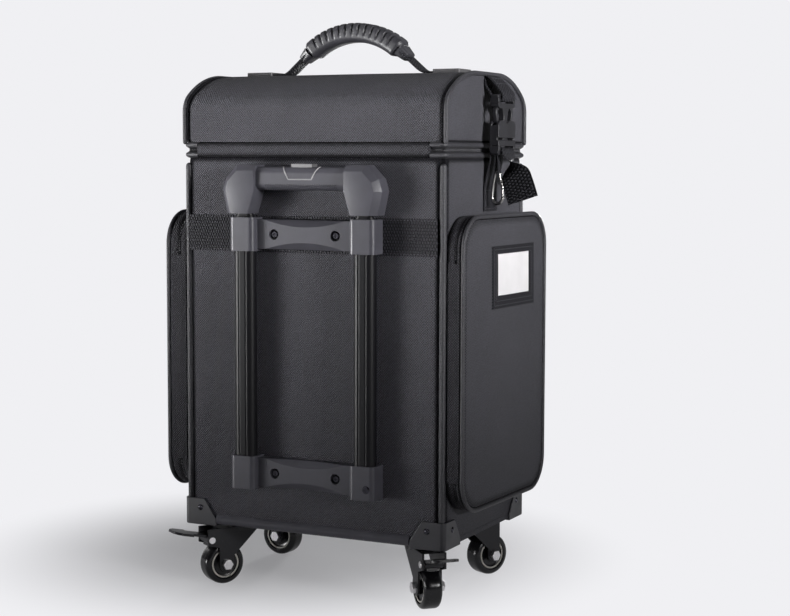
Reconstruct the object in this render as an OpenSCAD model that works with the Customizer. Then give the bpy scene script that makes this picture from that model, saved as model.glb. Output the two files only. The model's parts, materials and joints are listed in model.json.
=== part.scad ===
// Rolling makeup case: a fabric-covered box on four casters, with a zipped lid,
// a telescopic handle on its back and a zipped pocket on each side.
// +Z is up, the floor is z = 0, the handle side faces -Y.

/* [Case] */
// Width of the body
case_w = 340; // [320:1:380]
// Depth of the body
case_d = 230; // [220:1:260]
// Height of the body, from its underside to its top edge
body_h = 437; // [425:1:460]
// Thickness of the covered side boards
panel_t = 4; // [3:0.5:5]
// Thickness of the bottom board
board_t = 6; // [4:0.5:9]
// Radius of the piping on the upright edges
pipe_r = 4; // [3.5:0.5:5]
// How far each board stops short of the piping's centre
pipe_seat = 3; // [2:0.5:3]
// How far the piping ends below the body's top edge
pipe_drop = 6; // [6:1:12]

/* [Lid] */
// Gap between body and lid, where the zip runs
zip_gap = 18; // [17:1:24]
// Height of the lid
lid_h = 80; // [76:1:90]
// Height of the lid's straight front and back walls
lid_wall_h = 35; // [30:1:38]
// Radius where those walls turn over
lid_edge_r = 26; // [20:1:28]
// Thickness of the lid's boards
lid_t = 4; // [3:0.5:5]
// Width of the piped rim round each lid end
rim_w = 5; // [4:0.5:8]
// Height of that rim
rim_t = 3; // [2:0.5:4]

/* [Zip and fabric hinge] */
// Thickness of the zip tape
tape_t = 2; // [1.5:0.25:2.5]
// Overlap of the tape behind the boards
tape_lap = 6; // [5:1:10]
// Corner radius of the tape
tape_corner_r = 10; // [10:1:14]
// Height of half the zip coil
coil_h = 2.2; // [1.5:0.1:3]
// Thickness of the coil
coil_t = 1.2; // [0.8:0.1:1.6]
// Gap between the two halves of the zip
zip_clear = 0.4; // [0.3:0.1:0.6]
// Half length of the fabric hinge
hinge_half = 150; // [130:1:152]
// Radius of the rolled hinge
roll_r = 8.4; // [7:0.1:8.4]
// Gap between the roll and the sliding handle
roll_clear = 0.4; // [0.3:0.1:0.8]
// Thickness of the hinge's flap inside the back board
flap_t = 1.5; // [1:0.25:2]
// Length of that flap below the body's top edge
flap_h = 20; // [12:1:30]

/* [Corner protectors and rails] */
// Thickness of a corner protector
protector_t = 2.2; // [1.5:0.1:3]
// Height of a corner protector
protector_h = 30; // [26:1:36]
// Width of a corner protector at its foot
protector_w = 42; // [38:1:46]
// Width of a corner protector at its top
protector_top_w = 26; // [22:1:30]
// Height of its upright foot below the slanted edge
protector_low = 6; // [4:1:10]
// Width of the lip under the case
lip_w = 14; // [10:1:15]
// Radius of a rivet head
rivet_r = 3.6; // [3:0.1:4.5]
// Radius of the rivet head's flat top
rivet_top_r = 2.2; // [1.6:0.1:2.8]
// Height of a rivet head
rivet_h = 1.5; // [1:0.1:2]
// Distance from a rivet to the corner
rivet_in = 20; // [16:0.5:21]
// Height of a rivet above the case's underside
rivet_up = 19; // [14:0.5:21]
// Height of the bottom rails
rail_h = 12; // [8:0.5:16]
// How far the bottom rails stand out
rail_t = 3.5; // [2:0.25:5]
// Gap between a rail and the corner protectors
rail_gap = 0.3; // [0.2:0.1:1]

/* [Trolley] */
// Distance between the tubes' centres
tube_spacing = 156; // [150:1:180]
// Distance of the tubes' centres from the back
tube_standoff = 13.5; // [13:0.5:16]
// Width of an outer tube
tube_w = 27; // [25:0.5:30]
// Depth of an outer tube
tube_d = 17; // [16:0.5:18]
// Wall of an outer tube
tube_wall = 1.5; // [1.2:0.1:2]
// Wall of the sliding tubes
slide_wall = 1.2; // [1:0.1:1.4]
// Gap on each side between sliding tubes
slide_clear = 0.2; // [0.15:0.05:0.3]
// Gap below each sliding tube when it is in
foot_clear = 0.5; // [0.3:0.1:1]
// Depth of the two grooves down an outer tube
groove_d = 0.7; // [0.4:0.1:0.9]
// Distance between those grooves
groove_spacing = 9; // [7:0.5:11]
// Radius of those grooves
groove_r = 1.6; // [1.2:0.1:2]
// Height of the upper bracket's centre above the body's underside
upper_z = 349; // [340:1:360]
// Height of the lower bracket's centre above the body's underside
lower_z = 71; // [60:1:90]
// Height of a bracket
socket_h = 39; // [36:1:44]
// Wall of a bracket's sockets beside the tubes
socket_wall = 2.5; // [2:0.25:3.5]
// Radius of the sockets' front corners
socket_r = 6; // [4:0.5:8]
// Floor of the lower sockets
socket_floor = 4; // [3:0.5:6]
// Collar at the top of the upper sockets
collar_t = 3; // [2:0.5:5]
// Height of the plate between two sockets
cross_h = 34; // [30:1:38]
// How far that plate stands out from the back
cross_out = 14; // [12:0.5:16]
// Depth of the plate's curved bevels at mid length
bevel_d = 8; // [5:0.5:9]
// Radius of those bevels
bevel_r = 240; // [200:5:300]
// Distance between a bracket's two screws
screw_spacing = 80; // [60:1:90]
// Radius of a screw's shank
screw_r = 2.2; // [1.8:0.1:2.6]
// Radius of a screw's head
head_r = 4.6; // [4:0.1:5.5]
// Radius of the head's flat top
head_top_r = 3.2; // [2.6:0.1:3.8]
// Height of a screw's head
head_h = 2.4; // [1.8:0.1:3]
// Depth of the screw's counterbore
sink_d = 4; // [3:0.25:5]
// Gap round a screw's head
sink_clear = 1.4; // [0.5:0.1:2]
// Height of the webbing band across the back
band_w = 42; // [40:1:46]
// Thickness of webbing
web_t = 1.5; // [1.2:0.1:2]

/* [Trolley grip] */
// Gap between the upper sockets and the grip's shoulders
grip_gap = 4.5; // [4:0.5:8]
// How far the middle tubes stand out of the upper sockets
middle_out = 2; // [1:0.5:3]
// Half length of the grip bar
grip_half = 58; // [50:1:60]
// Height of the grip bar
grip_h = 27; // [25:0.5:30]
// Depth of the grip bar
grip_d = 21; // [20:0.5:22]
// Radius of the grip bar's edges
grip_r = 8; // [6:0.5:9]
// Height of the grip bar's underside above the shoulders' underside
grip_rise = 27; // [26:0.5:32]
// How far the shoulders rise above the grip bar
shoulder_rise = 2; // [0:0.5:4]
// How far a shoulder reaches outward from its tube
shoulder_out = 25; // [22:1:28]
// How far a shoulder reaches in front of its tube
shoulder_front = 15; // [12:0.5:17]
// How far a shoulder reaches behind its tube
shoulder_back = 10; // [9:0.5:11]
// How far a shoulder's flat top reaches past its tube's centre
shoulder_flat = 6; // [4:0.5:9]
// How far a shoulder draws in at half the grip's height
shoulder_draw = 4; // [2:0.5:6]
// How far a shoulder draws in at its foot
shoulder_foot_draw = 6; // [3:0.5:8]
// Width of a shoulder's bevels
shoulder_bevel = 7; // [4:0.5:8]
// Depth of the inner tube in a shoulder
tube_in = 20; // [15:1:22]

/* [Trolley button] */
// Length of the button
button_l = 27; // [20:1:34]
// Depth of the button
button_d = 12; // [10:0.5:14]
// How far the button stands out
button_out = 3; // [2:0.5:4]
// Height of the button's cap
button_h = 7; // [6:0.5:8]
// Travel of the button
button_travel = 4; // [3:0.5:4]
// Height of the cross bar under the button
cross_bar_h = 4; // [3:0.5:5]
// Depth of the cross bar
cross_bar_d = 6; // [5:0.5:7]
// Distance from the cap's underside to the cross bar's top
stem_h = 8; // [8:0.5:9]
// Gap round the button and its bar
button_clear = 0.4; // [0.3:0.05:0.6]
// Radius of a push rod
rod_r = 2; // [1.5:0.1:2.5]
// Radius of the button's return spring
spring_r = 3; // [2.5:0.1:3.4]
// Wire of that spring
spring_wire = 1; // [0.6:0.1:1.2]
// Depth of the well that the spring stands in
well_d = 2; // [1:0.5:2.5]

/* [Pockets] */
// Back edge of the pockets, from the case's middle
pocket_back = 110; // [100:1:112]
// Front edge of the pockets, from the case's middle
pocket_front = 112; // [100:1:114]
// Height of the pockets' lower edge above the case's underside
pocket_low = 39; // [34:1:60]
// Height of the pockets
pocket_h = 333; // [300:1:340]
// Corner radius of the pockets
pocket_r = 38; // [30:1:50]
// Wall of the pockets
pocket_wall = 2.5; // [2:0.25:4]
// Depth of the fixed zip tray
tray_d = 10.8; // [8:0.1:12]
// Gap along the pocket's zip
pocket_gap = 0.4; // [0.3:0.1:0.6]
// Depth of the right pocket at its hinge
right_back_d = 20.5; // [18:0.5:30]
// Depth of the right pocket at its opening edge
right_front_d = 29; // [20:0.5:34]
// Depth of the left pocket at its hinge
left_back_d = 28; // [18:0.5:30]
// Depth of the left pocket at its opening edge
left_front_d = 29; // [20:0.5:34]
// Thickness of a pocket's face
face_t = 3; // [2:0.5:4]
// How far the piping stands out round a face
piping_out = 1.5; // [1:0.25:2.5]
// Width of the piping round a face
piping_w = 5; // [4:0.5:7]

/* [Card window] */
// Width of the frame
frame_w = 116; // [100:1:130]
// Height of the frame
frame_h = 72; // [66:1:90]
// Thickness of the frame
frame_t = 1.6; // [1:0.2:2.5]
// Distance from the hinge edge to the frame
frame_from_hinge = 69; // [50:1:85]
// Distance from the pocket's upper edge to the frame
frame_from_top = 35; // [30:1:60]
// Width of the card's visible part
card_w = 86; // [80:1:92]
// Height of the card's visible part
card_h = 48; // [44:1:56]
// Thickness of the card
card_t = 0.6; // [0.4:0.1:1]
// Overlap of the frame on the card
card_lap = 3; // [2:0.5:5]
// Height of the card's middle above the frame's middle
card_up = 3; // [0:0.5:5]

/* [Side straps] */
// Width of the side straps
strap_w = 38; // [30:1:40]
// Thickness of the side straps
strap_t = 2; // [1.5:0.25:2.5]
// Distance of a strap's middle in front of the case's middle
strap_y = 8; // [0:1:16]
// Distance from the case's side to a buckle
buckle_gap = 10; // [9:0.5:14]
// Width of a buckle
buckle_w = 50; // [48:1:56]
// Thickness of a buckle
buckle_t = 12; // [10:0.5:14]
// Height of a buckle's lower end above the body's top edge
buckle_z = 4; // [2:1:8]
// Height of a buckle's socket
buckle_socket_h = 41; // [38:1:44]
// Height of a buckle's plug above the socket
plug_h = 27; // [24:1:28]
// Gap between plug and socket
plug_gap = 1; // [0.5:0.1:2]
// Length of the plug's prongs
prong_l = 18; // [14:1:20]
// Width of a prong
prong_w = 4; // [3:0.5:5]
// Thickness of a prong
prong_t = 6; // [4:0.5:7]
// Gap round the prongs in the socket
prong_clear = 0.5; // [0.4:0.1:1]
// Room in the socket's mouth behind the prongs, for their swing as the lid opens
prong_swing = 4.8; // [4.5:0.1:5]
// Height of the slots for the straps
slot_h = 5; // [4:0.5:6]
// Bar beside each slot
slot_bar = 5; // [4:0.5:7]
// Gap on each side of a strap in its slot
slot_clear = 0.5; // [0.3:0.1:1]
// Gap between the straps' stitched ends and the piping
stitch_clear = 2; // [1:0.5:4]
// Height of the stitched end of the lid strap
lid_stitch_h = 10; // [8:1:16]
// Height of the stitched end of the body strap
body_stitch_h = 28; // [20:1:30]
// Gap between a strap's free tail and the pocket
tail_clear = 5.5; // [3:0.5:12]
// Length that the free tail reaches outward
tail_out = 39; // [30:1:42]
// Height of the tail's outer corner above its lower corner
tail_slant = 18; // [10:1:24]

/* [Snap hook] */
// Distance of the hook from the strap's middle, toward the back
hook_back = 14; // [8:1:18]
// Length of the loop that holds the hook
hook_loop_l = 22; // [16:1:26]
// Wire radius of that loop
loop_wire = 1.2; // [0.8:0.1:1.5]
// Distance between the loop's legs
loop_w = 9; // [8:0.5:12]
// Radius of the hook's eye
eye_r = 6; // [5:0.5:8]
// Gap between the hook's eye and its loop
eye_gap = 0.3; // [0.2:0.05:0.6]
// Wire radius of the hook's eye
eye_wire = 1.5; // [1:0.1:2]
// Radius of the hook's bend
hook_r = 6.5; // [5:0.5:8]
// Wire radius of the hook
hook_wire = 2; // [1.5:0.1:2.5]
// Length of the hook's straight back
hook_l = 13; // [10:1:18]
// Radius of the sprung gate
gate_r = 1.2; // [0.9:0.1:1.5]
// Gap above the gate, where it turns
gate_top_clear = 0.6; // [0.5:0.05:0.9]
// Gap between the closed gate and the hook's tip
gate_foot_clear = 0.3; // [0.2:0.05:0.5]

/* [Carry handle] */
// Length of the grip, measured straight across
carry_l = 119; // [110:1:126]
// Height of the grip's top above the lid
carry_rise = 62; // [56:1:70]
// Sagitta of the grip's middle line
carry_bow = 22; // [16:1:26]
// Depth of the grip, front to back
carry_d = 28; // [24:1:34]
// Thickness of the grip
carry_t = 23; // [18:0.5:26]
// Radius of the grip's edges
carry_r = 8; // [6:0.5:9]
// Number of grooves across the grip
carry_grooves = 9; // [5:1:13]
// Radius of those grooves
carry_groove_r = 2; // [1.5:0.1:2.5]
// Depth of those grooves
carry_groove_d = 1.3; // [0.8:0.1:1.5]
// Width of the handle's strap
carry_strap_w = 26; // [20:1:28]
// Thickness of the handle's strap
carry_strap_t = 3; // [2:0.25:4]
// Distance from the lid's middle to the strap's bend
carry_foot = 94; // [88:1:98]
// Distance from the lid's middle to the end plates
plate_x = 108; // [104:1:114]
// Length of an end plate
plate_l = 34; // [26:1:36]
// Width of an end plate
plate_w = 34; // [30:1:38]
// Thickness of an end plate over the strap
plate_t = 2; // [1.5:0.25:3]

/* [Casters] */
// Height of a caster
caster_h = 76; // [74:1:82]
// Gap between the casters' plates and the protectors' lips, sideways
caster_x = 8; // [3:0.5:18]
// Gap between the casters' plates and the protectors' lips, front to back
caster_y = 2; // [1:0.5:8]
// Swing of the wheels behind their swivels
trail = 25.7; // [20:0.1:28]
// Radius of a wheel
wheel_r = 25; // [22:0.5:26]
// Width of a wheel's tread
wheel_w = 22; // [18:0.5:24]
// Radius of the tread's edges
tread_r = 5; // [3:0.5:7]
// Radius of the ring on a wheel's face
ring_r = 17.5; // [14:0.5:18]
// Width of that ring
ring_w = 2; // [1.5:0.25:3]
// Depth of that ring below the tread's side
ring_in = 1; // [0.5:0.25:1.5]
// Depth of the wheel's hub below the tread's side
hub_in = 3; // [2:0.5:4]
// Radius of the wheel's boss
boss_r = 8; // [7:0.5:10]
// Radius of an axle bolt
axle_r = 4; // [3:0.25:5]
// Radius of a bolt's hexagon
bolt_r = 6.5; // [5.5:0.25:8]
// Height of a bolt's hexagon
bolt_h = 5; // [3:0.5:6]
// Gap round a turning shaft
run_clear = 0.05; // [0.03:0.01:0.08]
// Gap between a wheel's tread and its fork
fork_clear = 1; // [0.8:0.1:1.5]
// Gap between a wheel's boss and its fork
boss_clear = 0.4; // [0.3:0.1:0.6]
// Thickness of a fork's legs
leg_t = 2.5; // [2:0.25:3.5]
// Radius of a fork's end at the axle
leg_r = 9; // [8:0.5:11]
// Rim of a fork's crown round the race
crown_rim = 1; // [0.5:0.25:2]
// Thickness of a fork's crown
crown_t = 4; // [3:0.5:5]
// Reach of a fork's crown ahead of its swivel
crown_ahead = 20; // [18:1:24]
// Side of a caster's square plate
base_side = 54; // [50:1:56]
// Thickness of a caster's plate
base_t = 3; // [2.5:0.25:4]
// Distance between a plate's screws
base_screws = 42; // [38:1:44]
// Radius of the swivel's race
race_r = 17; // [13:0.5:17.5]
// Height of the swivel's race
race_h = 3.8; // [3:0.1:5]
// Gap between race and crown
race_clear = 0.2; // [0.1:0.05:0.3]
// Radius of the kingpin
kingpin_r = 4; // [3:0.25:5]
// Radius of the kingpin's head
kingpin_head_r = 7; // [6:0.5:8]
// Height of the kingpin's head
kingpin_head_h = 2.5; // [2:0.25:3]
// Depth of a caster screw in the bottom board
base_screw_in = 5; // [3:0.5:6]
// Height of a caster screw's head
base_head_h = 1.6; // [1.2:0.1:2]
// Heading of the back left wheel
heading_back_left = -123; // [-180:1:180]
// Heading of the back right wheel
heading_back_right = -46; // [-180:1:180]
// Heading of the front left wheel
heading_front_left = 175; // [-180:1:180]
// Heading of the front right wheel
heading_front_right = 63; // [-180:1:180]

/* [Brakes] */
// Distance of the pedal's pin from the swivel
brake_x = 45; // [43:0.5:48]
// Height of the pedal's pin above the axle
brake_up = 31; // [30:0.5:33]
// Radius of the pedal's pin
brake_pin_r = 2.5; // [2:0.1:3]
// Radius of the pin's heads
brake_head_r = 4; // [3.5:0.1:4.5]
// Depth of the fork's wing below the pin
wing_low = 6; // [5:0.5:7]
// Reach of the fork's wing past the pin
wing_past = 5; // [4:0.5:6]
// Height of the pin's heads
brake_head_h = 1.5; // [1:0.1:2]
// Radius of the pedal's boss
brake_boss_r = 5; // [4.5:0.25:5.5]
// Width of the pedal's boss
brake_boss_w = 22; // [18:0.5:23]
// Length of the pedal from its pin
pedal_l = 48; // [40:1:50]
// Width of the pedal's paddle
pedal_w = 34; // [28:1:40]
// Length of the pedal's paddle
paddle_l = 30; // [24:1:34]
// Thickness of the pedal
pedal_t = 3; // [2.5:0.25:4]
// Slope of the released pedal
pedal_slope = 12; // [6:1:14]
// Width of the brake shoe
shoe_w = 16; // [12:1:18]
// Depth of the brake shoe below the pin
shoe_d = 8.5; // [7:0.25:8.5]
// Reach of the brake shoe from the pin toward the wheel
shoe_l = 7; // [5:0.5:7]

/* [Zip sliders] */
// Width of a zip slider
slider_w = 9; // [7:0.5:12]
// Length of a zip slider
slider_l = 14; // [10:0.5:18]
// Thickness of a zip slider
slider_t = 3; // [2:0.25:4]
// Gap between a slider and its coil
slider_clear = 0.3; // [0.2:0.05:0.5]
// Length of a slider's pull
pull_l = 26; // [18:1:34]
// Width of a slider's pull
pull_w = 7; // [5:0.5:9]
// Thickness of a slider's pull
pull_t = 1.6; // [1:0.2:2.2]
// Distance of the lid's sliders from its middle
lid_slider_x = 12; // [8:1:40]
// Height of the pockets' sliders above the pockets' lower edge
pocket_slider_up = 250; // [120:1:270]

/* [Hidden] */
$fn = 64;
eps = 0.5;

// Colours of the materials
fabric = [0.24, 0.24, 0.26];
webbing = [0.13, 0.13, 0.14];
plastic = [0.2, 0.2, 0.21];
tube_black = [0.06, 0.06, 0.07];
steel_black = [0.12, 0.12, 0.13];
chrome = [0.8, 0.8, 0.82];

// Places on the body
half_w = case_w / 2;
half_d = case_d / 2;
floor_z = caster_h + board_t;
body_top = caster_h + body_h;
corner_x = half_w - pipe_r;
corner_y = half_d - pipe_r;
zip_z = body_top + zip_gap / 2;
lid_z = body_top + zip_gap;
lid_top = lid_z + lid_h;
// The lid's round edges end where its roof slopes by 3 in 4
roof_run = 0.8;
roof_rise = 0.6;

// Places on the trolley
tube_x = tube_spacing / 2;
tube_y = -half_d - tube_standoff;
socket_w = tube_w + 2 * socket_wall;
socket_front = tube_y - tube_d / 2 - socket_wall;
upper_bracket_z = caster_h + upper_z;
lower_bracket_z = caster_h + lower_z;
socket_top = upper_bracket_z + socket_h / 2;
socket_foot = lower_bracket_z - socket_h / 2;
tube_foot = socket_foot + socket_floor;
middle_w = tube_w - 2 * tube_wall - 2 * slide_clear;
middle_d = tube_d - 2 * tube_wall - 2 * slide_clear;
inner_w = middle_w - 2 * slide_wall - 2 * slide_clear;
inner_d = middle_d - 2 * slide_wall - 2 * slide_clear;
shoulder_foot = socket_top + grip_gap;
grip_foot = shoulder_foot + grip_rise;
grip_top = grip_foot + grip_h;
shoulder_top = grip_top + shoulder_rise;
cap_foot = grip_top + button_out - button_h;
bar_top = cap_foot - stem_h;
bar_foot = bar_top - cross_bar_h;
bar_half = tube_x + rod_r;
channel_foot = bar_foot - button_travel - button_clear;
cross_front = -half_d - cross_out;
roll_out = tube_standoff - max(grip_d / 2, shoulder_back) - roll_clear;
sink_floor = cross_front + sink_d;
foot_screw_x = tube_x + tube_w / 4;
foot_screw_z = socket_foot + socket_h / 3;

// Places on the pockets
pocket_z = caster_h + pocket_low;
pocket_top = pocket_z + pocket_h;
pocket_len = pocket_back + pocket_front;
split_x = half_w + tray_d + pocket_gap / 2;
frame_y = frame_from_hinge - pocket_back + frame_w / 2;
frame_z = pocket_top - frame_from_top - frame_h / 2;

// Places on the straps
buckle_in = half_w + buckle_gap;
buckle_out = buckle_in + buckle_t;
buckle_mid = buckle_in + buckle_t / 2;
socket_z = body_top + buckle_z;
plug_z = socket_z + buckle_socket_h + plug_gap;
plug_top = plug_z + plug_h;
prong_y = buckle_w / 2 - 2 * prong_w;
slot_w = strap_w + 2 * slot_clear;
hook_y = strap_y - hook_back;
loop_foot = socket_z - hook_loop_l;
eye_z = loop_foot - eye_r + eye_wire + loop_wire + eye_gap;
hook_z = eye_z - eye_r - eye_wire;
gate_pin_z = hook_z - 3 * hook_wire - gate_top_clear;
// The straps' flat runs on the case stay clear of the pockets and of the lid's rim
body_stitch_z = pocket_top + piping_out + stitch_clear;
lid_stitch_z = lid_top - rim_w - stitch_clear;
tail_foot = pocket_top + piping_out + tail_clear;

// The arch of the carry handle's grip
carry_mid = lid_top + carry_rise - carry_t / 2;
carry_arc = (carry_l * carry_l / 4 + carry_bow * carry_bow) / (2 * carry_bow);
carry_angle = asin(carry_l / 2 / carry_arc);

// Places on the casters
swivel_x = half_w - lip_w - caster_x - base_side / 2;
swivel_y = half_d - lip_w - caster_y - base_side / 2;
base_foot = caster_h - base_t;
race_foot = base_foot - race_h;
crown_top = race_foot - race_clear;
crown_foot = crown_top - crown_t;
leg_in = wheel_w / 2 + fork_clear;
leg_out = leg_in + leg_t;
brake_z = wheel_r + brake_up;

// Lays its children out on the left and right sides
module both_sides() {
  children();
  mirror([1, 0, 0]) children();
}

// Lays its children out at the four corners
module four_corners() {
  both_sides() {
    children();
    mirror([0, 1, 0]) children();
  }
}

// A box between two corners
module box(low, high) {
  translate(low) cube(high - low);
}

// Runs a y-z outline along x
module along_x(start, length) {
  translate([start, 0, 0]) rotate([90, 0, 90]) linear_extrude(length) children();
}

// Runs an x-z outline along y
module along_y(start, length) {
  translate([0, start + length, 0]) rotate([90, 0, 0]) linear_extrude(length) children();
}

// A rectangle with round corners
module rounded_rect(low, high, r) {
  size = high - low;
  translate(low + [r, 0]) square([size[0] - 2 * r, size[1]]);
  translate(low + [0, r]) square([size[0], size[1] - 2 * r]);
  for (x = [low[0] + r, high[0] - r], y = [low[1] + r, high[1] - r])
    translate([x, y]) circle(r);
}

// The body's outline seen from above, drawn in by an inset
module plan(inset, r) {
  rounded_rect([inset - half_w, inset - half_d], [half_w - inset, half_d - inset], r);
}

// A flat-sided tube's outline
module stadium(w, d) {
  square([w - d, d], center = true);
  for (s = [-1, 1])
    translate([s * (w - d) / 2, 0]) circle(d / 2);
}

// Stands its children on both tubes' centres
module at_tubes() {
  for (s = [-1, 1])
    translate([s * tube_x, tube_y, 0]) children();
}

// Holes or screws through both brackets into the back
module at_bracket_screws() {
  for (z = [lower_bracket_z, upper_bracket_z], s = [-1, 1])
    translate([s * screw_spacing / 2, 0, z]) rotate([90, 0, 0]) children();
}

// The four upright edge pipings
module piping_posts(height) {
  four_corners() translate([corner_x, corner_y, floor_z]) cylinder(r = pipe_r, h = height);
}

// The board on the back; the front one mirrors it
module end_board() {
  panel_x = corner_x - pipe_seat;
  difference() {
    box([-panel_x, -half_d, floor_z], [panel_x, panel_t - half_d, body_top]);
    piping_posts(body_h);
  }
}

// The board on the right; the left one mirrors it
module side_board() {
  panel_y = corner_y - pipe_seat;
  difference() {
    box([half_w - panel_t, -panel_y, floor_z], [half_w, panel_y, body_top]);
    piping_posts(body_h);
  }
}

module back_panel() {
  color(fabric) difference() {
    end_board();
    translate([0, panel_t - half_d + eps, 0]) at_bracket_screws()
      cylinder(r = screw_r, h = panel_t + 2 * eps);
  }
}

module front_panel() {
  color(fabric) mirror([0, 1, 0]) end_board();
}

module right_panel() {
  color(fabric) side_board();
}

module left_panel() {
  color(fabric) mirror([1, 0, 0]) side_board();
}

// Places of the screws in the four caster plates
module at_caster_screws() {
  four_corners() translate([swivel_x, swivel_y, 0])
    for (x = [-1, 1], y = [-1, 1])
      translate([x * base_screws / 2, y * base_screws / 2, 0]) children();
}

module bottom_board() {
  color(fabric) difference() {
    translate([0, 0, caster_h]) linear_extrude(board_t) plan(0, pipe_r);
    translate([0, 0, caster_h - eps]) at_caster_screws() cylinder(r = screw_r, h = base_screw_in + eps);
  }
}

// Half-round rails along the back and front edges of the bottom
module bottom_rails() {
  r = (rail_t * rail_t + rail_h * rail_h / 4) / (2 * rail_t);
  length = case_w - 2 * protector_w - 2 * rail_gap;
  color([0.3, 0.3, 0.32]) for (s = [0, 1])
    mirror([0, s, 0]) along_x(-length / 2, length) intersection() {
      translate([r - rail_t - half_d, caster_h + rail_h / 2]) circle(r);
      translate([-half_d - rail_t, caster_h]) square([rail_t, rail_h]);
    }
}

// The corner protector at +X, +Y
module protector() {
  outer = half_w - protector_w;
  outer_y = half_d - protector_w;
  top = caster_h + protector_h;
  foot = caster_h - protector_t;
  difference() {
    translate([0, 0, foot]) linear_extrude(protector_h + protector_t) intersection() {
      plan(-protector_t, pipe_r + protector_t);
      translate([outer, outer_y]) square(protector_w + protector_t);
    }
    translate([0, 0, caster_h]) linear_extrude(protector_h + eps) plan(0, pipe_r);
    box([outer - eps, outer_y - eps, foot - eps], [half_w - lip_w, half_d - lip_w, caster_h + eps]);
    along_y(half_d - eps, protector_t + 2 * eps) slant(half_w);
    along_x(half_w - eps, protector_t + 2 * eps) slant(half_d);
  }
  module slant(edge) {
    polygon([
      [edge - protector_w - eps, caster_h + protector_low],
      [edge - protector_w, caster_h + protector_low],
      [edge - protector_top_w, top],
      [edge - protector_top_w, top + eps],
      [edge - protector_w - eps, top + eps]
    ]);
  }
}

module corner_protectors() {
  color(plastic) four_corners() protector();
}

module corner_rivets() {
  rivet_z = caster_h + rivet_up;
  color(steel_black) four_corners() {
    translate([half_w - rivet_in, half_d + protector_t, rivet_z]) rotate([-90, 0, 0]) rivet();
    translate([half_w + protector_t, half_d - rivet_in, rivet_z]) rotate([0, 90, 0]) rivet();
  }
  module rivet() {
    cylinder(r1 = rivet_r, r2 = rivet_top_r, h = rivet_h);
  }
}

module edge_piping() {
  height = body_top - pipe_drop - pipe_r - floor_z;
  color(fabric) {
    piping_posts(height);
    four_corners() translate([corner_x, corner_y, floor_z + height]) sphere(pipe_r);
  }
}

// A band that runs round the sides and front and stops at the fabric hinge
module zip_band(inset, thickness, r, low, high) {
  difference() {
    translate([0, 0, low]) linear_extrude(high - low) difference() {
      plan(inset, r);
      plan(inset + thickness, r - thickness);
    }
    box([-hinge_half, -half_d - eps, low - eps],
        [hinge_half, inset + thickness + eps - half_d, high + eps]);
  }
}

module zip_tape_lower() {
  high = zip_z - zip_clear / 2;
  color(webbing) {
    zip_band(panel_t, tape_t, tape_corner_r, body_top - tape_lap, high);
    zip_band(panel_t - coil_t, coil_t, tape_corner_r + coil_t, high - coil_h, high);
  }
}

module zip_tape_upper() {
  low = zip_z + zip_clear / 2;
  color(webbing) {
    zip_band(lid_t, tape_t, tape_corner_r, low, lid_z + tape_lap);
    zip_band(lid_t - coil_t, coil_t, tape_corner_r + coil_t, low, low + coil_h);
  }
}

// The roll of fabric that the lid turns on, with its flap inside the back board
module hinge_cover() {
  length = 2 * hinge_half - 2 * zip_clear;
  color(fabric) along_x(-length / 2, length) {
    intersection() {
      translate([-half_d, zip_z]) circle(roll_r);
      translate([-half_d - roll_out, zip_z - roll_r]) square([roll_out + panel_t, 2 * roll_r]);
    }
    translate([panel_t - half_d, body_top - flap_h]) square([flap_t, zip_z - body_top + flap_h]);
  }
}

module back_webbing() {
  reach = corner_x - pipe_seat;
  color(webbing) difference() {
    box([-reach, -half_d - web_t, upper_bracket_z - band_w / 2],
        [reach, -half_d, upper_bracket_z + band_w / 2]);
    translate([0, eps - half_d, 0]) at_bracket_screws() cylinder(r = screw_r, h = web_t + 2 * eps);
  }
}

module outer_tubes() {
  height = socket_top - collar_t - tube_foot;
  color(tube_black) at_tubes() translate([0, 0, tube_foot]) linear_extrude(height)
    difference() {
      stadium(tube_w, tube_d);
      stadium(tube_w - 2 * tube_wall, tube_d - 2 * tube_wall);
      for (s = [-1, 1])
        translate([s * groove_spacing / 2, groove_d - groove_r - tube_d / 2]) circle(groove_r);
    }
}

// A bracket with two sockets and the plate between them; its back lies at y = seat
module bracket(z, seat) {
  low = z - socket_h / 2;
  inner = tube_x - socket_w / 2;
  for (s = [-1, 1])
    translate([s * tube_x, 0, low]) linear_extrude(socket_h) {
      rounded_rect([-socket_w / 2, socket_front], [socket_w / 2, seat], socket_r);
      translate([-socket_w / 2, socket_front + socket_r])
        square([socket_w, seat - socket_front - socket_r]);
    }
  difference() {
    box([-inner, cross_front, z - cross_h / 2], [inner, seat, z + cross_h / 2]);
    for (s = [0, 1])
      translate([0, 0, z]) mirror([0, 0, s]) translate([0, cross_front, cross_h / 2]) rotate([-45, 0, 0])
        translate([0, bevel_d / sqrt(2) - bevel_r, 0])
          cylinder(r = bevel_r, h = 3 * cross_h, center = true, $fn = 180);
  }
}

// The screw holes and counterbores in both brackets
module bracket_holes() {
  translate([0, eps - half_d, 0]) at_bracket_screws() cylinder(r = screw_r, h = cross_out + 2 * eps);
  translate([0, sink_floor, 0]) at_bracket_screws() cylinder(r = head_r + sink_clear, h = sink_d + eps);
}

module upper_bracket() {
  color(plastic) difference() {
    bracket(upper_bracket_z, -half_d - web_t);
    bracket_holes();
    at_tubes() {
      translate([0, 0, socket_top - socket_h - eps]) linear_extrude(socket_h - collar_t + eps)
        stadium(tube_w, tube_d);
      translate([0, 0, socket_top - collar_t - eps]) linear_extrude(collar_t + 2 * eps)
        stadium(middle_w + 2 * slide_clear, middle_d + 2 * slide_clear);
    }
  }
}

module lower_bracket() {
  color(plastic) difference() {
    bracket(lower_bracket_z, -half_d);
    bracket_holes();
    at_tubes() translate([0, 0, tube_foot]) linear_extrude(socket_h) stadium(tube_w, tube_d);
  }
}

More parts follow.
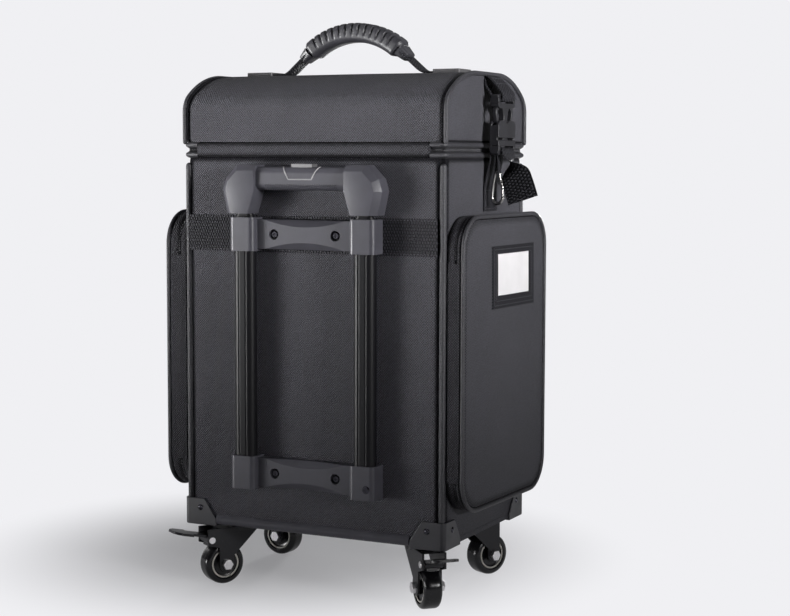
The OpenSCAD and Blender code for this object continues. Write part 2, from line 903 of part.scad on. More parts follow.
module case_screws() {
  color(chrome) {
    translate([0, sink_floor, 0]) at_bracket_screws() pan_head(head_h);
    translate([0, panel_t - half_d, 0]) at_bracket_screws()
      cylinder(r = screw_r, h = panel_t - half_d - sink_floor);
    translate([foot_screw_x, socket_front, foot_screw_z]) rotate([90, 0, 0]) pan_head(head_h / 2);
    translate([0, 0, base_foot]) at_caster_screws() {
      mirror([0, 0, 1]) pan_head(base_head_h);
      cylinder(r = screw_r, h = base_t + base_screw_in);
    }
  }
  // A low domed head with a cross slot
  module pan_head(h) {
    difference() {
      cylinder(r1 = head_r, r2 = head_top_r, h = h);
      for (turn = [0, 90])
        rotate([0, 0, turn]) translate([0, 0, h]) cube([head_r, head_r / 4, h], center = true);
    }
  }
}

// The pocket's outline on the case's side, drawn in by an inset
module pocket_outline(inset) {
  rounded_rect([inset - pocket_back, pocket_z + inset], [pocket_front - inset, pocket_top - inset],
               pocket_r - inset);
}

// The band sewn to the case's side, which carries half of the pocket's zip
module pocket_trays() {
  color(fabric) both_sides() along_x(half_w, tray_d) difference() {
    pocket_outline(0);
    pocket_outline(pocket_wall);
  }
}

// Lays its children on a pocket's sloping face, with x = 0 on its outside
module on_face(back_d, front_d) {
  translate([half_w + back_d, -pocket_back, 0]) rotate([0, 0, -atan((front_d - back_d) / pocket_len)])
    translate([0, pocket_back, 0]) children();
}

// The right pocket's cover: gusset, face and piping
module pocket_cover(back_d, front_d) {
  start = split_x + pocket_gap / 2;
  intersection() {
    along_x(start, front_d) difference() {
      pocket_outline(0);
      pocket_outline(pocket_wall);
    }
    on_face(back_d, front_d) box([-2 * front_d, -case_d, 0], [-face_t / 2, case_d, lid_top]);
  }
  on_face(back_d, front_d) {
    along_x(-face_t, face_t) pocket_outline(0);
    along_x(-face_t, face_t + piping_out) difference() {
      pocket_outline(-piping_out);
      pocket_outline(piping_w - piping_out);
    }
  }
}

module right_pocket_cover() {
  color(fabric) pocket_cover(right_back_d, right_front_d);
}

module left_pocket_cover() {
  color(fabric) mirror([1, 0, 0]) pocket_cover(left_back_d, left_front_d);
}

// The card's outline on the right pocket's face, grown by a margin
module card_outline(margin) {
  translate([frame_y, frame_z + card_up]) square([card_w + 2 * margin, card_h + 2 * margin], center = true);
}

module card_window() {
  color(webbing) on_face(right_back_d, right_front_d) difference() {
    along_x(0, frame_t) translate([frame_y, frame_z]) square([frame_w, frame_h], center = true);
    along_x(-eps, frame_t + 2 * eps) card_outline(0);
    along_x(-eps, card_t + eps) card_outline(card_lap);
  }
}

module name_card() {
  color("white") on_face(right_back_d, right_front_d) along_x(0, card_t) card_outline(card_lap);
}

// Runs an x-z outline across a strap's width
module across_strap(width) {
  along_y(strap_y - width / 2, width) children();
}

// The sewn-on lower straps with their free tails
module body_straps() {
  bend = body_stitch_z + body_stitch_h;
  color(webbing) both_sides() {
    across_strap(strap_w) polygon([
      [half_w, body_stitch_z],
      [half_w + strap_t, body_stitch_z],
      [half_w + strap_t, bend],
      [buckle_in, socket_z],
      [buckle_in, socket_z + slot_bar],
      [buckle_in - strap_t, socket_z + slot_bar],
      [buckle_in - strap_t, socket_z + strap_t],
      [half_w, bend + strap_t]
    ]);
    across_strap(strap_w) translate([buckle_out, socket_z]) square([strap_t, slot_bar]);
    across_strap(strap_t) polygon([
      [buckle_out, socket_z],
      [buckle_out + strap_t, socket_z + slot_bar],
      [buckle_out + tail_out, tail_foot + tail_slant],
      [buckle_out + strap_t, tail_foot],
      [buckle_out - strap_t, (socket_z + tail_foot) / 2]
    ]);
  }
}

// A slot for a strap through a buckle
module strap_slot(z) {
  box([buckle_in - eps, strap_y - slot_w / 2, z], [buckle_out + eps, strap_y + slot_w / 2, z + slot_h]);
}

// Places of a plug's two outer prongs
module at_prongs() {
  for (s = [-1, 1])
    translate([buckle_mid, strap_y + s * prong_y, plug_z - prong_l]) children();
}

module buckle_sockets() {
  top = socket_z + buckle_socket_h;
  mouth_x = prong_t / 2 + prong_clear;
  mouth_y = prong_y + prong_w / 2;
  color(plastic) both_sides() difference() {
    box([buckle_in, strap_y - buckle_w / 2, socket_z], [buckle_out, strap_y + buckle_w / 2, top]);
    strap_slot(socket_z + slot_bar);
    box([buckle_mid - mouth_x, strap_y - mouth_y - prong_swing, plug_z - prong_l - prong_clear],
        [buckle_mid + mouth_x, strap_y + mouth_y + prong_clear, top + eps]);
  }
}

module buckle_plugs() {
  color(plastic) both_sides() {
    difference() {
      box([buckle_in, strap_y - buckle_w / 2, plug_z], [buckle_out, strap_y + buckle_w / 2, plug_top]);
      strap_slot(plug_top - slot_bar - slot_h);
    }
    at_prongs() translate([-prong_t / 2, -prong_w / 2, 0]) cube([prong_t, prong_w, prong_l + eps]);
  }
}

module lid_straps() {
  bend = lid_stitch_z - lid_stitch_h;
  color(webbing) both_sides() across_strap(strap_w) polygon([
    [half_w, lid_stitch_z],
    [half_w + strap_t, lid_stitch_z],
    [half_w + strap_t, bend],
    [buckle_in, plug_top],
    [buckle_in, plug_top - slot_bar],
    [buckle_in - strap_t, plug_top - slot_bar],
    [buckle_in - strap_t, plug_top - strap_t],
    [half_w, bend - strap_t]
  ]);
}

// The wire loop under the right buckle, which holds the snap hook
module hook_loop() {
  color(chrome) translate([buckle_mid, hook_y, 0]) {
    for (s = [-1, 1])
      translate([0, s * loop_w / 2, loop_foot]) {
        cylinder(r = loop_wire, h = hook_loop_l);
        sphere(loop_wire);
      }
    translate([0, -loop_w / 2, loop_foot]) rotate([-90, 0, 0]) cylinder(r = loop_wire, h = loop_w);
  }
}

// The hook hangs by its eye, with a closed bend below and a gate across its mouth
module snap_hook() {
  stem = 2 * hook_wire;
  color(chrome) translate([buckle_mid, hook_y, 0]) {
    translate([0, 0, eye_z]) rotate([90, 0, 0]) rotate_extrude() translate([eye_r, 0]) circle(eye_wire);
    translate([0, 0, hook_z - stem]) cylinder(r = hook_wire, h = stem + eye_wire);
    translate([0, 0, hook_z - stem]) rotate([0, 90, 0])
      cylinder(r = hook_wire, h = 2 * hook_r, center = true);
    for (s = [-1, 1])
      translate([s * hook_r, 0, hook_z - stem]) sphere(hook_wire);
    translate([-hook_r, 0, hook_z - stem - hook_l]) cylinder(r = hook_wire, h = hook_l);
    translate([0, 0, hook_z - stem - hook_l]) rotate([-90, 0, 0])
      rotate_extrude(angle = 180) translate([hook_r, 0]) circle(hook_wire);
  }
}

// The gate turns on its upper end and closes the hook's mouth
module hook_gate() {
  low = hook_z - 2 * hook_wire - hook_l + gate_foot_clear;
  color(chrome) translate([buckle_mid + hook_r, hook_y, low]) cylinder(r = gate_r, h = gate_pin_z - low);
}

// The lid's end outline above its lower edge, drawn in by an inset
module lid_outline(inset) {
  r = lid_edge_r - inset;
  side = half_d - inset;
  top = lid_h - inset;
  edge_y = half_d - lid_edge_r + r * roof_rise;
  edge_z = lid_wall_h + r * roof_run;
  crown_r = (top - edge_z) / (1 - roof_run);
  crown_y = edge_y - crown_r * roof_rise;
  translate([0, lid_z]) {
    polygon([
      [-side, 0], [side, 0], [side, lid_wall_h], [edge_y, edge_z], [crown_y, top],
      [-crown_y, top], [-edge_y, edge_z], [-side, lid_wall_h]
    ]);
    for (s = [0, 1])
      mirror([s, 0]) {
        intersection() {
          translate([half_d - lid_edge_r, lid_wall_h]) circle(r, $fn = 128);
          translate([edge_y, lid_wall_h]) square([lid_edge_r, edge_z - lid_wall_h]);
        }
        intersection() {
          translate([crown_y, top - crown_r]) circle(crown_r, $fn = 180);
          translate([crown_y, edge_z]) square([edge_y - crown_y, top - edge_z]);
        }
      }
  }
}

module lid_shell() {
  length = case_w - 2 * lid_t;
  color(fabric) along_x(-length / 2, length) difference() {
    lid_outline(0);
    lid_outline(lid_t);
    translate([lid_t - half_d, lid_z - eps]) square([case_d - 2 * lid_t, lid_wall_h]);
  }
}

module lid_ends() {
  color(fabric) both_sides() along_x(half_w - lid_t, lid_t) lid_outline(0);
}

module lid_piping() {
  color(fabric) both_sides() along_x(half_w, rim_t) difference() {
    lid_outline(0);
    lid_outline(rim_w);
    translate([rim_w - half_d, lid_z - eps]) square([case_d - 2 * rim_w, lid_wall_h]);
  }
}

module carry_grip() {
  color(plastic) translate([0, 0, carry_mid - carry_arc]) difference() {
    rotate([90, 0, 0]) rotate([0, 0, 90 - carry_angle]) rotate_extrude(angle = 2 * carry_angle, $fn = 180)
      rounded_rect([carry_arc - carry_t / 2, -carry_d / 2],
                   [carry_arc + carry_t / 2, carry_d / 2], carry_r);
    for (i = [1:carry_grooves])
      rotate([0, carry_angle * (2 * i / (carry_grooves + 1) - 1), 0])
        translate([0, 0, carry_arc + carry_t / 2 + carry_groove_r - carry_groove_d]) rotate([90, 0, 0])
          cylinder(r = carry_groove_r, h = carry_d + 2 * eps, center = true);
  }
}

// The strap leaves each end of the grip, turns along the lid and runs under an end plate
module carry_strap() {
  end = [carry_l / 2, carry_mid - carry_bow];
  out = [cos(carry_angle), -sin(carry_angle)];
  side = [sin(carry_angle), cos(carry_angle)] * carry_strap_t / 2;
  foot = plate_x + plate_l - plate_t;
  color(webbing) both_sides() along_y(-carry_strap_w / 2, carry_strap_w) polygon([
    end - side,
    end + side,
    end + side + out * carry_strap_t,
    [carry_foot + carry_strap_t, lid_top + carry_strap_t],
    [foot, lid_top + carry_strap_t],
    [foot, lid_top],
    [carry_foot - carry_strap_t, lid_top],
    end - side + out * carry_strap_t
  ]);
}

module carry_plates() {
  color(chrome) both_sides() difference() {
    box([plate_x, -plate_w / 2, lid_top],
        [plate_x + plate_l, plate_w / 2, lid_top + carry_strap_t + plate_t]);
    box([plate_x - eps, -carry_strap_w / 2, lid_top - eps],
        [plate_x + plate_l - plate_t, carry_strap_w / 2, lid_top + carry_strap_t]);
  }
}

module middle_tubes() {
  low = tube_foot + foot_clear;
  color(tube_black) at_tubes() translate([0, 0, low]) linear_extrude(socket_top + middle_out - low)
    difference() {
      stadium(middle_w, middle_d);
      stadium(middle_w - 2 * slide_wall, middle_d - 2 * slide_wall);
    }
}

module inner_tubes() {
  low = tube_foot + 2 * foot_clear;
  color(tube_black) at_tubes() translate([0, 0, low]) linear_extrude(shoulder_foot + tube_in - low)
    difference() {
      stadium(inner_w, inner_d);
      stadium(inner_w - 2 * slide_wall, inner_d - 2 * slide_wall);
    }
}

// The room for the cross bar inside the grip and its shoulders
module bar_channel(half_length) {
  half_depth = cross_bar_d / 2 + button_clear;
  box([-half_length, tube_y - half_depth, channel_foot],
      [half_length, tube_y + half_depth, bar_top + button_clear]);
}

// The right shoulder's outline, from the inside edge round over the top
shoulder_points = [
  [grip_half, grip_foot],
  [grip_half, shoulder_top],
  [tube_x + shoulder_flat, shoulder_top],
  [tube_x + shoulder_out - shoulder_draw, grip_foot + grip_h / 2],
  [tube_x + shoulder_out, grip_foot],
  [tube_x + shoulder_out - shoulder_foot_draw, shoulder_foot],
  [tube_x - inner_w / 2 - slide_wall, shoulder_foot]
];

// A bevel along one edge of the shoulder's front
module shoulder_cut(a, b) {
  mid = (a + b) / 2;
  side = shoulder_bevel * sqrt(2);
  translate([mid[0], tube_y - shoulder_front, mid[1]]) rotate([0, -atan2(b[1] - a[1], b[0] - a[0]), 0])
    rotate([45, 0, 0]) cube([norm(b - a) + 2 * shoulder_bevel, side, side], center = true);
}

module grip_shoulders() {
  color(plastic) both_sides() difference() {
    along_y(tube_y - shoulder_front, shoulder_front + shoulder_back) polygon(shoulder_points);
    for (i = [1:4])
      shoulder_cut(shoulder_points[i], shoulder_points[i + 1]);
    translate([tube_x, tube_y, shoulder_foot - eps]) linear_extrude(tube_in + eps)
      stadium(inner_w, inner_d);
    translate([tube_x, tube_y, shoulder_foot])
      cylinder(r = rod_r + button_clear, h = channel_foot - shoulder_foot + eps);
    bar_channel(bar_half + button_clear);
  }
}

module grip_bar() {
  half = button_l / 2 + button_clear;
  deep = button_d / 2 + button_clear;
  color(plastic) difference() {
    along_x(-grip_half, 2 * grip_half)
      rounded_rect([tube_y - grip_d / 2, grip_foot], [tube_y + grip_d / 2, grip_top], grip_r);
    bar_channel(grip_half + eps);
    box([-half, tube_y - deep, cap_foot - button_travel - button_clear],
        [half, tube_y + deep, grip_top + eps]);
    box([-half / 2 - button_clear, tube_y - cross_bar_d / 2 - button_clear, bar_foot],
        [half / 2 + button_clear, tube_y + cross_bar_d / 2 + button_clear, cap_foot]);
    translate([0, tube_y, channel_foot - well_d]) cylinder(r = spring_r + button_clear, h = well_d + eps);
  }
}

// The button, the cross bar under it and the rods that hang down the inner tubes
module trolley_button() {
  rod_foot = tube_foot + 3 * foot_clear + button_travel;
  deep = cross_bar_d / 2;
  color([0.65, 0.65, 0.67]) {
    box([-button_l / 2, tube_y - button_d / 2, cap_foot],
        [button_l / 2, tube_y + button_d / 2, grip_top + button_out]);
    box([-button_l / 4, tube_y - deep, bar_foot], [button_l / 4, tube_y + deep, cap_foot]);
    box([-bar_half, tube_y - deep, bar_foot], [bar_half, tube_y + deep, bar_top]);
    at_tubes() translate([0, 0, rod_foot]) cylinder(r = rod_r, h = bar_top - rod_foot);
  }
}

module button_spring() {
  low = channel_foot - well_d;
  color(chrome) translate([0, tube_y, low]) difference() {
    cylinder(r = spring_r, h = bar_foot - low);
    translate([0, 0, -eps]) cylinder(r = spring_r - spring_wire, h = bar_foot - low + 2 * eps);
  }
}

// Stands its children on a caster's swivel, turned so that the wheel trails along +X
module at_caster(side, end, heading) {
  translate([side * swivel_x, end * swivel_y, 0]) rotate([0, 0, heading]) children();
}

module caster_plates() {
  pin_foot = crown_foot - race_clear;
  color(steel_black) difference() {
    four_corners() translate([swivel_x, swivel_y, 0]) {
      translate([-base_side / 2, -base_side / 2, base_foot]) cube([base_side, base_side, base_t]);
      translate([0, 0, race_foot]) cylinder(r = race_r, h = race_h);
      translate([0, 0, pin_foot]) cylinder(r = kingpin_r, h = base_foot - pin_foot);
      translate([0, 0, pin_foot - kingpin_head_h]) cylinder(r = kingpin_head_r, h = kingpin_head_h);
    }
    translate([0, 0, base_foot - eps]) at_caster_screws() cylinder(r = screw_r, h = base_t + 2 * eps);
  }
}

// A bent steel fork; a braked one reaches back to the pedal's pin
module fork(braked) {
  reach = braked ? brake_x + wing_past : trail + leg_r;
  wing = braked ? brake_z - wing_low : crown_foot - leg_r;
  color(steel_black) difference() {
    union() {
      for (s = [0, 1])
        mirror([0, s, 0]) along_y(leg_in, leg_t) {
          polygon([
            [-crown_ahead, crown_top], [reach, crown_top], [reach, wing],
            [trail + leg_r, wing - leg_r / 2], [trail + leg_r, wheel_r], [trail - leg_r, wheel_r],
            [trail - leg_r, wheel_r + leg_r]
          ]);
          translate([trail, wheel_r]) circle(leg_r);
        }
      box([-crown_ahead, -leg_in, crown_foot], [trail + leg_r, leg_in, crown_top]);
      translate([0, 0, crown_foot]) cylinder(r = race_r + crown_rim, h = crown_t);
    }
    translate([0, 0, crown_foot - eps]) cylinder(r = kingpin_r + run_clear, h = crown_t + 2 * eps);
    across(trail, wheel_r) cylinder(r = axle_r, h = 3 * leg_out, center = true);
    if (braked)
      across(brake_x, brake_z) cylinder(r = brake_pin_r, h = 3 * leg_out, center = true);
  }
}

// Turns a cylinder across the fork at a place along and above it
module across(x, z) {
  translate([x, 0, z]) rotate([90, 0, 0]) children();
}

module wheel() {
  side = wheel_w / 2;
  bore = axle_r + run_clear;
  boss = leg_in - boss_clear;
  color([0.08, 0.08, 0.09]) across(trail, wheel_r) rotate_extrude($fn = 96) {
    difference() {
      rounded_rect([ring_r - tread_r, -side], [wheel_r, side], tread_r);
      translate([ring_r - tread_r - eps, -side - eps]) square([tread_r + eps, wheel_w + 2 * eps]);
    }
    translate([ring_r - ring_w, ring_in - side]) square([ring_w, wheel_w - 2 * ring_in]);
    translate([bore, hub_in - side]) square([ring_r - bore, wheel_w - 2 * hub_in]);
    translate([bore, -boss]) square([boss_r - bore, 2 * boss]);
  }
}

// The axle bolt with its nut; a braked caster's also has the pedal's pin
module axle(braked) {
  color(chrome) {
    across(trail, wheel_r) {
      cylinder(r = axle_r, h = 2 * leg_out, center = true);
      for (s = [0, 1])
        mirror([0, 0, s]) translate([0, 0, leg_out]) cylinder(r = bolt_r, h = bolt_h, $fn = 6);
    }
    if (braked)
      across(brake_x, brake_z) {
        cylinder(r = brake_pin_r, h = 2 * leg_out, center = true);
        for (s = [0, 1])
          mirror([0, 0, s]) translate([0, 0, leg_out]) cylinder(r = brake_head_r, h = brake_head_h);
      }
  }
}

// A brake pedal: boss on the pin, arm, and a wide paddle past the fork
module pedal() {
  start = pedal_l - paddle_l;
  color(steel_black) translate([brake_x, 0, brake_z]) rotate([0, -pedal_slope, 0]) difference() {
    union() {
      rotate([90, 0, 0]) cylinder(r = brake_boss_r, h = brake_boss_w, center = true);
      box([0, -brake_boss_w / 2, brake_boss_r - pedal_t], [start, brake_boss_w / 2, brake_boss_r]);
      box([-shoe_l, -shoe_w / 2, -shoe_d], [0, shoe_w / 2, 0]);
      translate([start, 0, brake_boss_r - pedal_t]) linear_extrude(pedal_t) {
        translate([0, -brake_boss_w / 2]) square([paddle_l / 2, brake_boss_w]);
        translate([paddle_l / 4, -pedal_w / 2]) square([paddle_l / 2, pedal_w]);
        translate([paddle_l / 2, 0]) intersection() {
          circle(pedal_w / 2);
          translate([0, -pedal_w / 2]) square([paddle_l / 2, pedal_w]);
        }
      }
    }
    rotate([90, 0, 0]) cylinder(r = brake_pin_r + run_clear, h = 2 * brake_boss_w, center = true);
  }
}

module fork_back_left() { at_caster(-1, -1, heading_back_left) fork(true); }
module fork_back_right() { at_caster(1, -1, heading_back_right) fork(true); }
module fork_front_left() { at_caster(-1, 1, heading_front_left) fork(false); }
module fork_front_right() { at_caster(1, 1, heading_front_right) fork(false); }
module wheel_back_left() { at_caster(-1, -1, heading_back_left) wheel(); }
module wheel_back_right() { at_caster(1, -1, heading_back_right) wheel(); }
module wheel_front_left() { at_caster(-1, 1, heading_front_left) wheel(); }
module wheel_front_right() { at_caster(1, 1, heading_front_right) wheel(); }
module axle_back_left() { at_caster(-1, -1, heading_back_left) axle(true); }
module axle_back_right() { at_caster(1, -1, heading_back_right) axle(true); }
module axle_front_left() { at_caster(-1, 1, heading_front_left) axle(false); }
module axle_front_right() { at_caster(1, 1, heading_front_right) axle(false); }
module pedal_left() { at_caster(-1, -1, heading_back_left) pedal(); }
module pedal_right() { at_caster(1, -1, heading_back_right) pedal(); }

// A slider on a face that looks along +Y, with its pull hanging down
module slider(width, height) {
  translate([-width / 2, 0, -height / 2]) cube([width, slider_t, height]);
  translate([-pull_w / 2, slider_t, -pull_l]) cube([pull_w, pull_t, pull_l]);
}

// The right slider of the lid's zip, on the front
module lid_slider() {
  color(chrome) translate([lid_slider_x, half_d - panel_t + coil_t + slider_clear, zip_z])
    slider(slider_l, slider_w);
}

module lid_slider_right() { lid_slider(); }
module lid_slider_left() { mirror([1, 0, 0]) lid_slider(); }

// The right pocket's slider, on the front edge of its zip
module pocket_slider() {
  color(chrome) translate([split_x, pocket_front + slider_clear, pocket_z + pocket_slider_up])
    slider(slider_w, slider_l);
}

module pocket_slider_right() { pocket_slider(); }
module pocket_slider_left() { mirror([1, 0, 0]) pocket_slider(); }

back_panel();
front_panel();
left_panel();
right_panel();
bottom_board();
bottom_rails();
corner_protectors();
corner_rivets();
edge_piping();
zip_tape_lower();
hinge_cover();
back_webbing();
outer_tubes();
upper_bracket();
lower_bracket();
case_screws();
pocket_trays();
body_straps();
buckle_sockets();
hook_loop();
caster_plates();
lid_shell();
lid_ends();
lid_piping();
zip_tape_upper();
lid_straps();
buckle_plugs();
carry_plates();
carry_strap();
carry_grip();
middle_tubes();
inner_tubes();
grip_shoulders();
grip_bar();
button_spring();
trolley_button();
right_pocket_cover();
card_window();
name_card();
left_pocket_cover();
fork_back_left();
fork_back_right();
fork_front_left();
fork_front_right();
wheel_back_left();
wheel_back_right();
wheel_front_left();
wheel_front_right();
axle_back_left();
axle_back_right();
axle_front_left();
axle_front_right();
pedal_left();
pedal_right();
lid_slider_left();
lid_slider_right();
pocket_slider_left();
pocket_slider_right();
snap_hook();
hook_gate();
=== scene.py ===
"""Looks of a rolling makeup case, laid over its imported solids.

Lengths are millimetres until a mesh is made.
"""
import json
import math

import bmesh
import bpy
from mathutils import Matrix, Vector, noise

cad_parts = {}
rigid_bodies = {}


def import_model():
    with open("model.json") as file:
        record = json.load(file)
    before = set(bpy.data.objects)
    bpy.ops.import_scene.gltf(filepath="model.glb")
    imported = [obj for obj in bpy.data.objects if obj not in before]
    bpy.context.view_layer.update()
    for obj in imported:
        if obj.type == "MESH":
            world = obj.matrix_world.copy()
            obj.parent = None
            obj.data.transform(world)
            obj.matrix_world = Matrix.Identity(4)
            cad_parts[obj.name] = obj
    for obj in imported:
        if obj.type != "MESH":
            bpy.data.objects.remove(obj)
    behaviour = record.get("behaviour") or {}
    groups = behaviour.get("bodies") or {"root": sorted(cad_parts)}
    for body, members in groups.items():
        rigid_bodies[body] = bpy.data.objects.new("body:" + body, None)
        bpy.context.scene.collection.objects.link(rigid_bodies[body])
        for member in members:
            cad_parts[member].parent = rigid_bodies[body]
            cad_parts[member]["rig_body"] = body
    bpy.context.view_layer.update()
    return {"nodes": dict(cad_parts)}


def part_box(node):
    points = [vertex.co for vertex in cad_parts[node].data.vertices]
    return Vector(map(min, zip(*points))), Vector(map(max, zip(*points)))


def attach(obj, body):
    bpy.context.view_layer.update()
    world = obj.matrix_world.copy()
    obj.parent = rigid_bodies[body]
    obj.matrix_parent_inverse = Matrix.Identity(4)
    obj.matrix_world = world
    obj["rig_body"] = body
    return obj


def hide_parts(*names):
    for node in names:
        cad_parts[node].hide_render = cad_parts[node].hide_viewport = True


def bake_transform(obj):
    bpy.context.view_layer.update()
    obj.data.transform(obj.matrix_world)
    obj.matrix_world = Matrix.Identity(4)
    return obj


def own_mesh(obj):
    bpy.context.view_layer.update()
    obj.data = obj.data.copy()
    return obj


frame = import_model()
scene = bpy.context.scene
scene.view_settings.view_transform = "Standard"

MM = 0.001
SIDES = {"right": 1, "left": -1}

# Places that the pieces share
HALF_W, HALF_D = 170, 115
PIPED_X, PIPED_Y = 166, 111
BAND_Z = 425
RIVET_Z = 95
ZIP_Z, LID_Z, LID_TOP = 522, 531, 611
HINGE_HALF = 149.6
LID_END_X, LID_FACE_X, LID_CORD_X = 166, 169.2, 169.9
LID_WALL, LID_EDGE_R, LID_CROWN_R, LID_CROWN_Y = 35, 26, 121, 32
POCKET_BACK, POCKET_FRONT, POCKET_LOW, POCKET_HIGH, POCKET_R = -110, 112, 115, 448, 38
POCKET_Y, POCKET_Z = (POCKET_BACK + POCKET_FRONT) / 2, (POCKET_LOW + POCKET_HIGH) / 2
POCKET_DEPTH = {"right": (20.5, 29), "left": (28, 29)}
FLAP_LOW, FLAP_HIGH = 150, 398
SPLIT_X, COVER_X = 181, 181.7
STRAP_Y, STRAP_W = 8, 38
TUBE_Y = -128.5
CARRY_R, CARRY_HALF, CARRY_Z = 91.46, 40.6, 570.04
WHEEL_R, TRAIL = 25, 25.7
CASTERS = {
    "back_left": (-121, -72, -123),
    "back_right": (121, -72, -46),
    "front_left": (-121, 72, 175),
    "front_right": (121, 72, 63),
}


# Wiring of node trees

class Wiring:
    """Adds nodes to a tree; an input that is given a socket is linked to it."""

    def __init__(self, tree):
        self.tree = tree

    def add(self, kind, inputs=(), **settings):
        made = self.tree.nodes.new(kind)
        for key, value in settings.items():
            setattr(made, key, value)
        for key, value in dict(inputs).items():
            if isinstance(value, bpy.types.NodeSocket):
                self.link(value, made.inputs[key])
            else:
                made.inputs[key].default_value = value
        return made

    def link(self, start, end):
        self.tree.links.new(start, end)

    def first(self, kind, inputs=(), **settings):
        """The first output of a new node."""
        return self.add(kind, inputs, **settings).outputs[0]

    def math(self, operation, a, b=0.0, clamp=False):
        return self.first("ShaderNodeMath", {0: a, 1: b}, operation=operation, use_clamp=clamp)

    def plus(self, a, b):
        return self.math("ADD", a, b)

    def times(self, a, b):
        return self.math("MULTIPLY", a, b)

    def vector(self, operation, a, b=(0, 0, 0)):
        return self.first("ShaderNodeVectorMath", {0: a, 1: b}, operation=operation)

    def noise(self, place, scale, detail=2.0):
        return self.first("ShaderNodeTexNoise", {"Vector": place, "Scale": scale, "Detail": detail})

    def spread(self, value, low, high, to_low=0.0, to_high=1.0, **settings):
        """Stretches the range low to high over another."""
        ends = {"From Min": low, "From Max": high, "To Min": to_low, "To Max": to_high}
        return self.first("ShaderNodeMapRange", {"Value": value, **ends}, **settings)


def open_group(name, kind, inputs, outputs):
    """A new node group with its sockets; returns its wiring, its inputs by name and its output node."""
    tree = bpy.data.node_groups.new(name, kind)
    for way, sockets in (("INPUT", inputs), ("OUTPUT", outputs)):
        for label, socket, value in sockets:
            made = tree.interface.new_socket(label, in_out=way, socket_type=socket)
            if value is not None:
                made.default_value = value
    wiring = Wiring(tree)
    given = wiring.add("NodeGroupInput").outputs
    return wiring, given, wiring.add("NodeGroupOutput")


FLOAT = "NodeSocketFloat"


def make_weave():
    """Plain weave seen square on from any side, with the flecks of a melange yarn."""
    w, given, out = open_group("plain weave", "ShaderNodeTree", [("Pitch", FLOAT, 0.003)],
                               [("Tone", FLOAT, None), ("Height", FLOAT, None)])
    place = w.add("ShaderNodeTexCoord")
    turn = w.math("DIVIDE", 2 * math.pi, given["Pitch"])
    scaled = w.first("ShaderNodeVectorMath", {0: place.outputs["Object"], "Scale": turn}, operation="SCALE")
    x, y, z = w.add("ShaderNodeSeparateXYZ", {0: w.vector("SINE", scaled)}).outputs
    facing = w.vector("MULTIPLY", place.outputs["Normal"], place.outputs["Normal"])
    fx, fy, fz = w.add("ShaderNodeSeparateXYZ", {0: w.vector("MULTIPLY", facing, facing)}).outputs
    total = w.plus(w.plus(fx, fy), fz)
    knots = w.plus(w.times(w.times(x, y), fz), w.times(w.times(y, z), fx))
    knots = w.plus(knots, w.times(w.times(x, z), fy))
    knots = w.math("DIVIDE", knots, w.math("MAXIMUM", total, 0.001))
    fleck = w.noise(place.outputs["Object"], 620.0, 1.0)
    cloud = w.noise(place.outputs["Object"], 14.0, 3.0)
    yarn = w.times(w.spread(fleck, 0.35, 0.65), 0.5)
    tone = w.plus(yarn, w.times(cloud, 0.45))
    w.link(w.plus(tone, w.times(knots, 0.75)), out.inputs["Tone"])
    w.link(w.plus(knots, w.times(fleck, 0.8)), out.inputs["Height"])
    return w.tree


def make_ribs():
    """Ribs of a woven strap: u runs across it and v along it, in metres."""
    w, given, out = open_group("strap ribs", "ShaderNodeTree",
                               [("Across", FLOAT, 0.0026), ("Along", FLOAT, 0.0024)],
                               [("Tone", FLOAT, None), ("Height", FLOAT, None)])
    place = w.first("ShaderNodeUVMap", uv_map="UVMap")
    u, v, _ = w.add("ShaderNodeSeparateXYZ", {0: place}).outputs
    column = w.math("DIVIDE", u, given["Across"])
    odd = w.times(w.math("FLOOR", column), 0.5)
    bow = w.math("ABSOLUTE", w.math("SINE", w.times(column, math.pi)))
    step = w.plus(w.math("DIVIDE", v, given["Along"]), odd)
    ripple = w.math("SINE", w.times(step, 2 * math.pi))
    bumps = w.times(w.math("POWER", bow, 0.6), w.plus(w.times(ripple, 0.5), 0.5))
    fuzz = w.noise(w.add("ShaderNodeTexCoord").outputs["Object"], 1400.0, 1.0)
    tone = w.plus(w.times(bumps, 0.8), w.times(fuzz, 0.2))
    w.link(tone, out.inputs["Tone"])
    w.link(w.plus(bumps, w.times(fuzz, 0.3)), out.inputs["Height"])
    return w.tree


def make_grain():
    """The fine grain of a moulding, with rubbed places that shine more."""
    w, given, out = open_group("moulded grain", "ShaderNodeTree", [("Scale", FLOAT, 2200.0)],
                               [("Rub", FLOAT, None), ("Height", FLOAT, None)])
    place = w.add("ShaderNodeTexCoord").outputs["Object"]
    fine = w.noise(place, given["Scale"], 2.0)
    broad = w.noise(place, 35.0, 4.0)
    w.link(w.spread(broad, 0.35, 0.7), out.inputs["Rub"])
    w.link(fine, out.inputs["Height"])
    return w.tree


def make_scuffs():
    """Hairlines and faint scuffs in a hard finish, drawn out along one direction."""
    w, given, out = open_group("hairlines", "ShaderNodeTree",
                               [("Stretch", "NodeSocketVector", (900, 900, 12))],
                               [("Line", FLOAT, None), ("Scuff", FLOAT, None)])
    place = w.add("ShaderNodeTexCoord").outputs["Object"]
    lines = w.noise(w.vector("MULTIPLY", place, given["Stretch"]), 1.0, 2.0)
    marks = w.noise(place, 120.0, 5.0)
    w.link(lines, out.inputs["Line"])
    w.link(w.spread(marks, 0.62, 0.75), out.inputs["Scuff"])
    return w.tree


# Each is a group, the mark that sets colour and roughness, and the mark that raises the surface
WEAVE = make_weave(), "Tone", "Height"
RIBS = make_ribs(), "Tone", "Height"
GRAIN = make_grain(), "Rub", "Height"
HAIRLINES = make_scuffs(), "Line", "Line"
SCUFFS = HAIRLINES[0], "Scuff", "Line"
# How dark the painted shade in folds, grooves and beside piping can make the cloth
SEAM_SHADE = 0.9


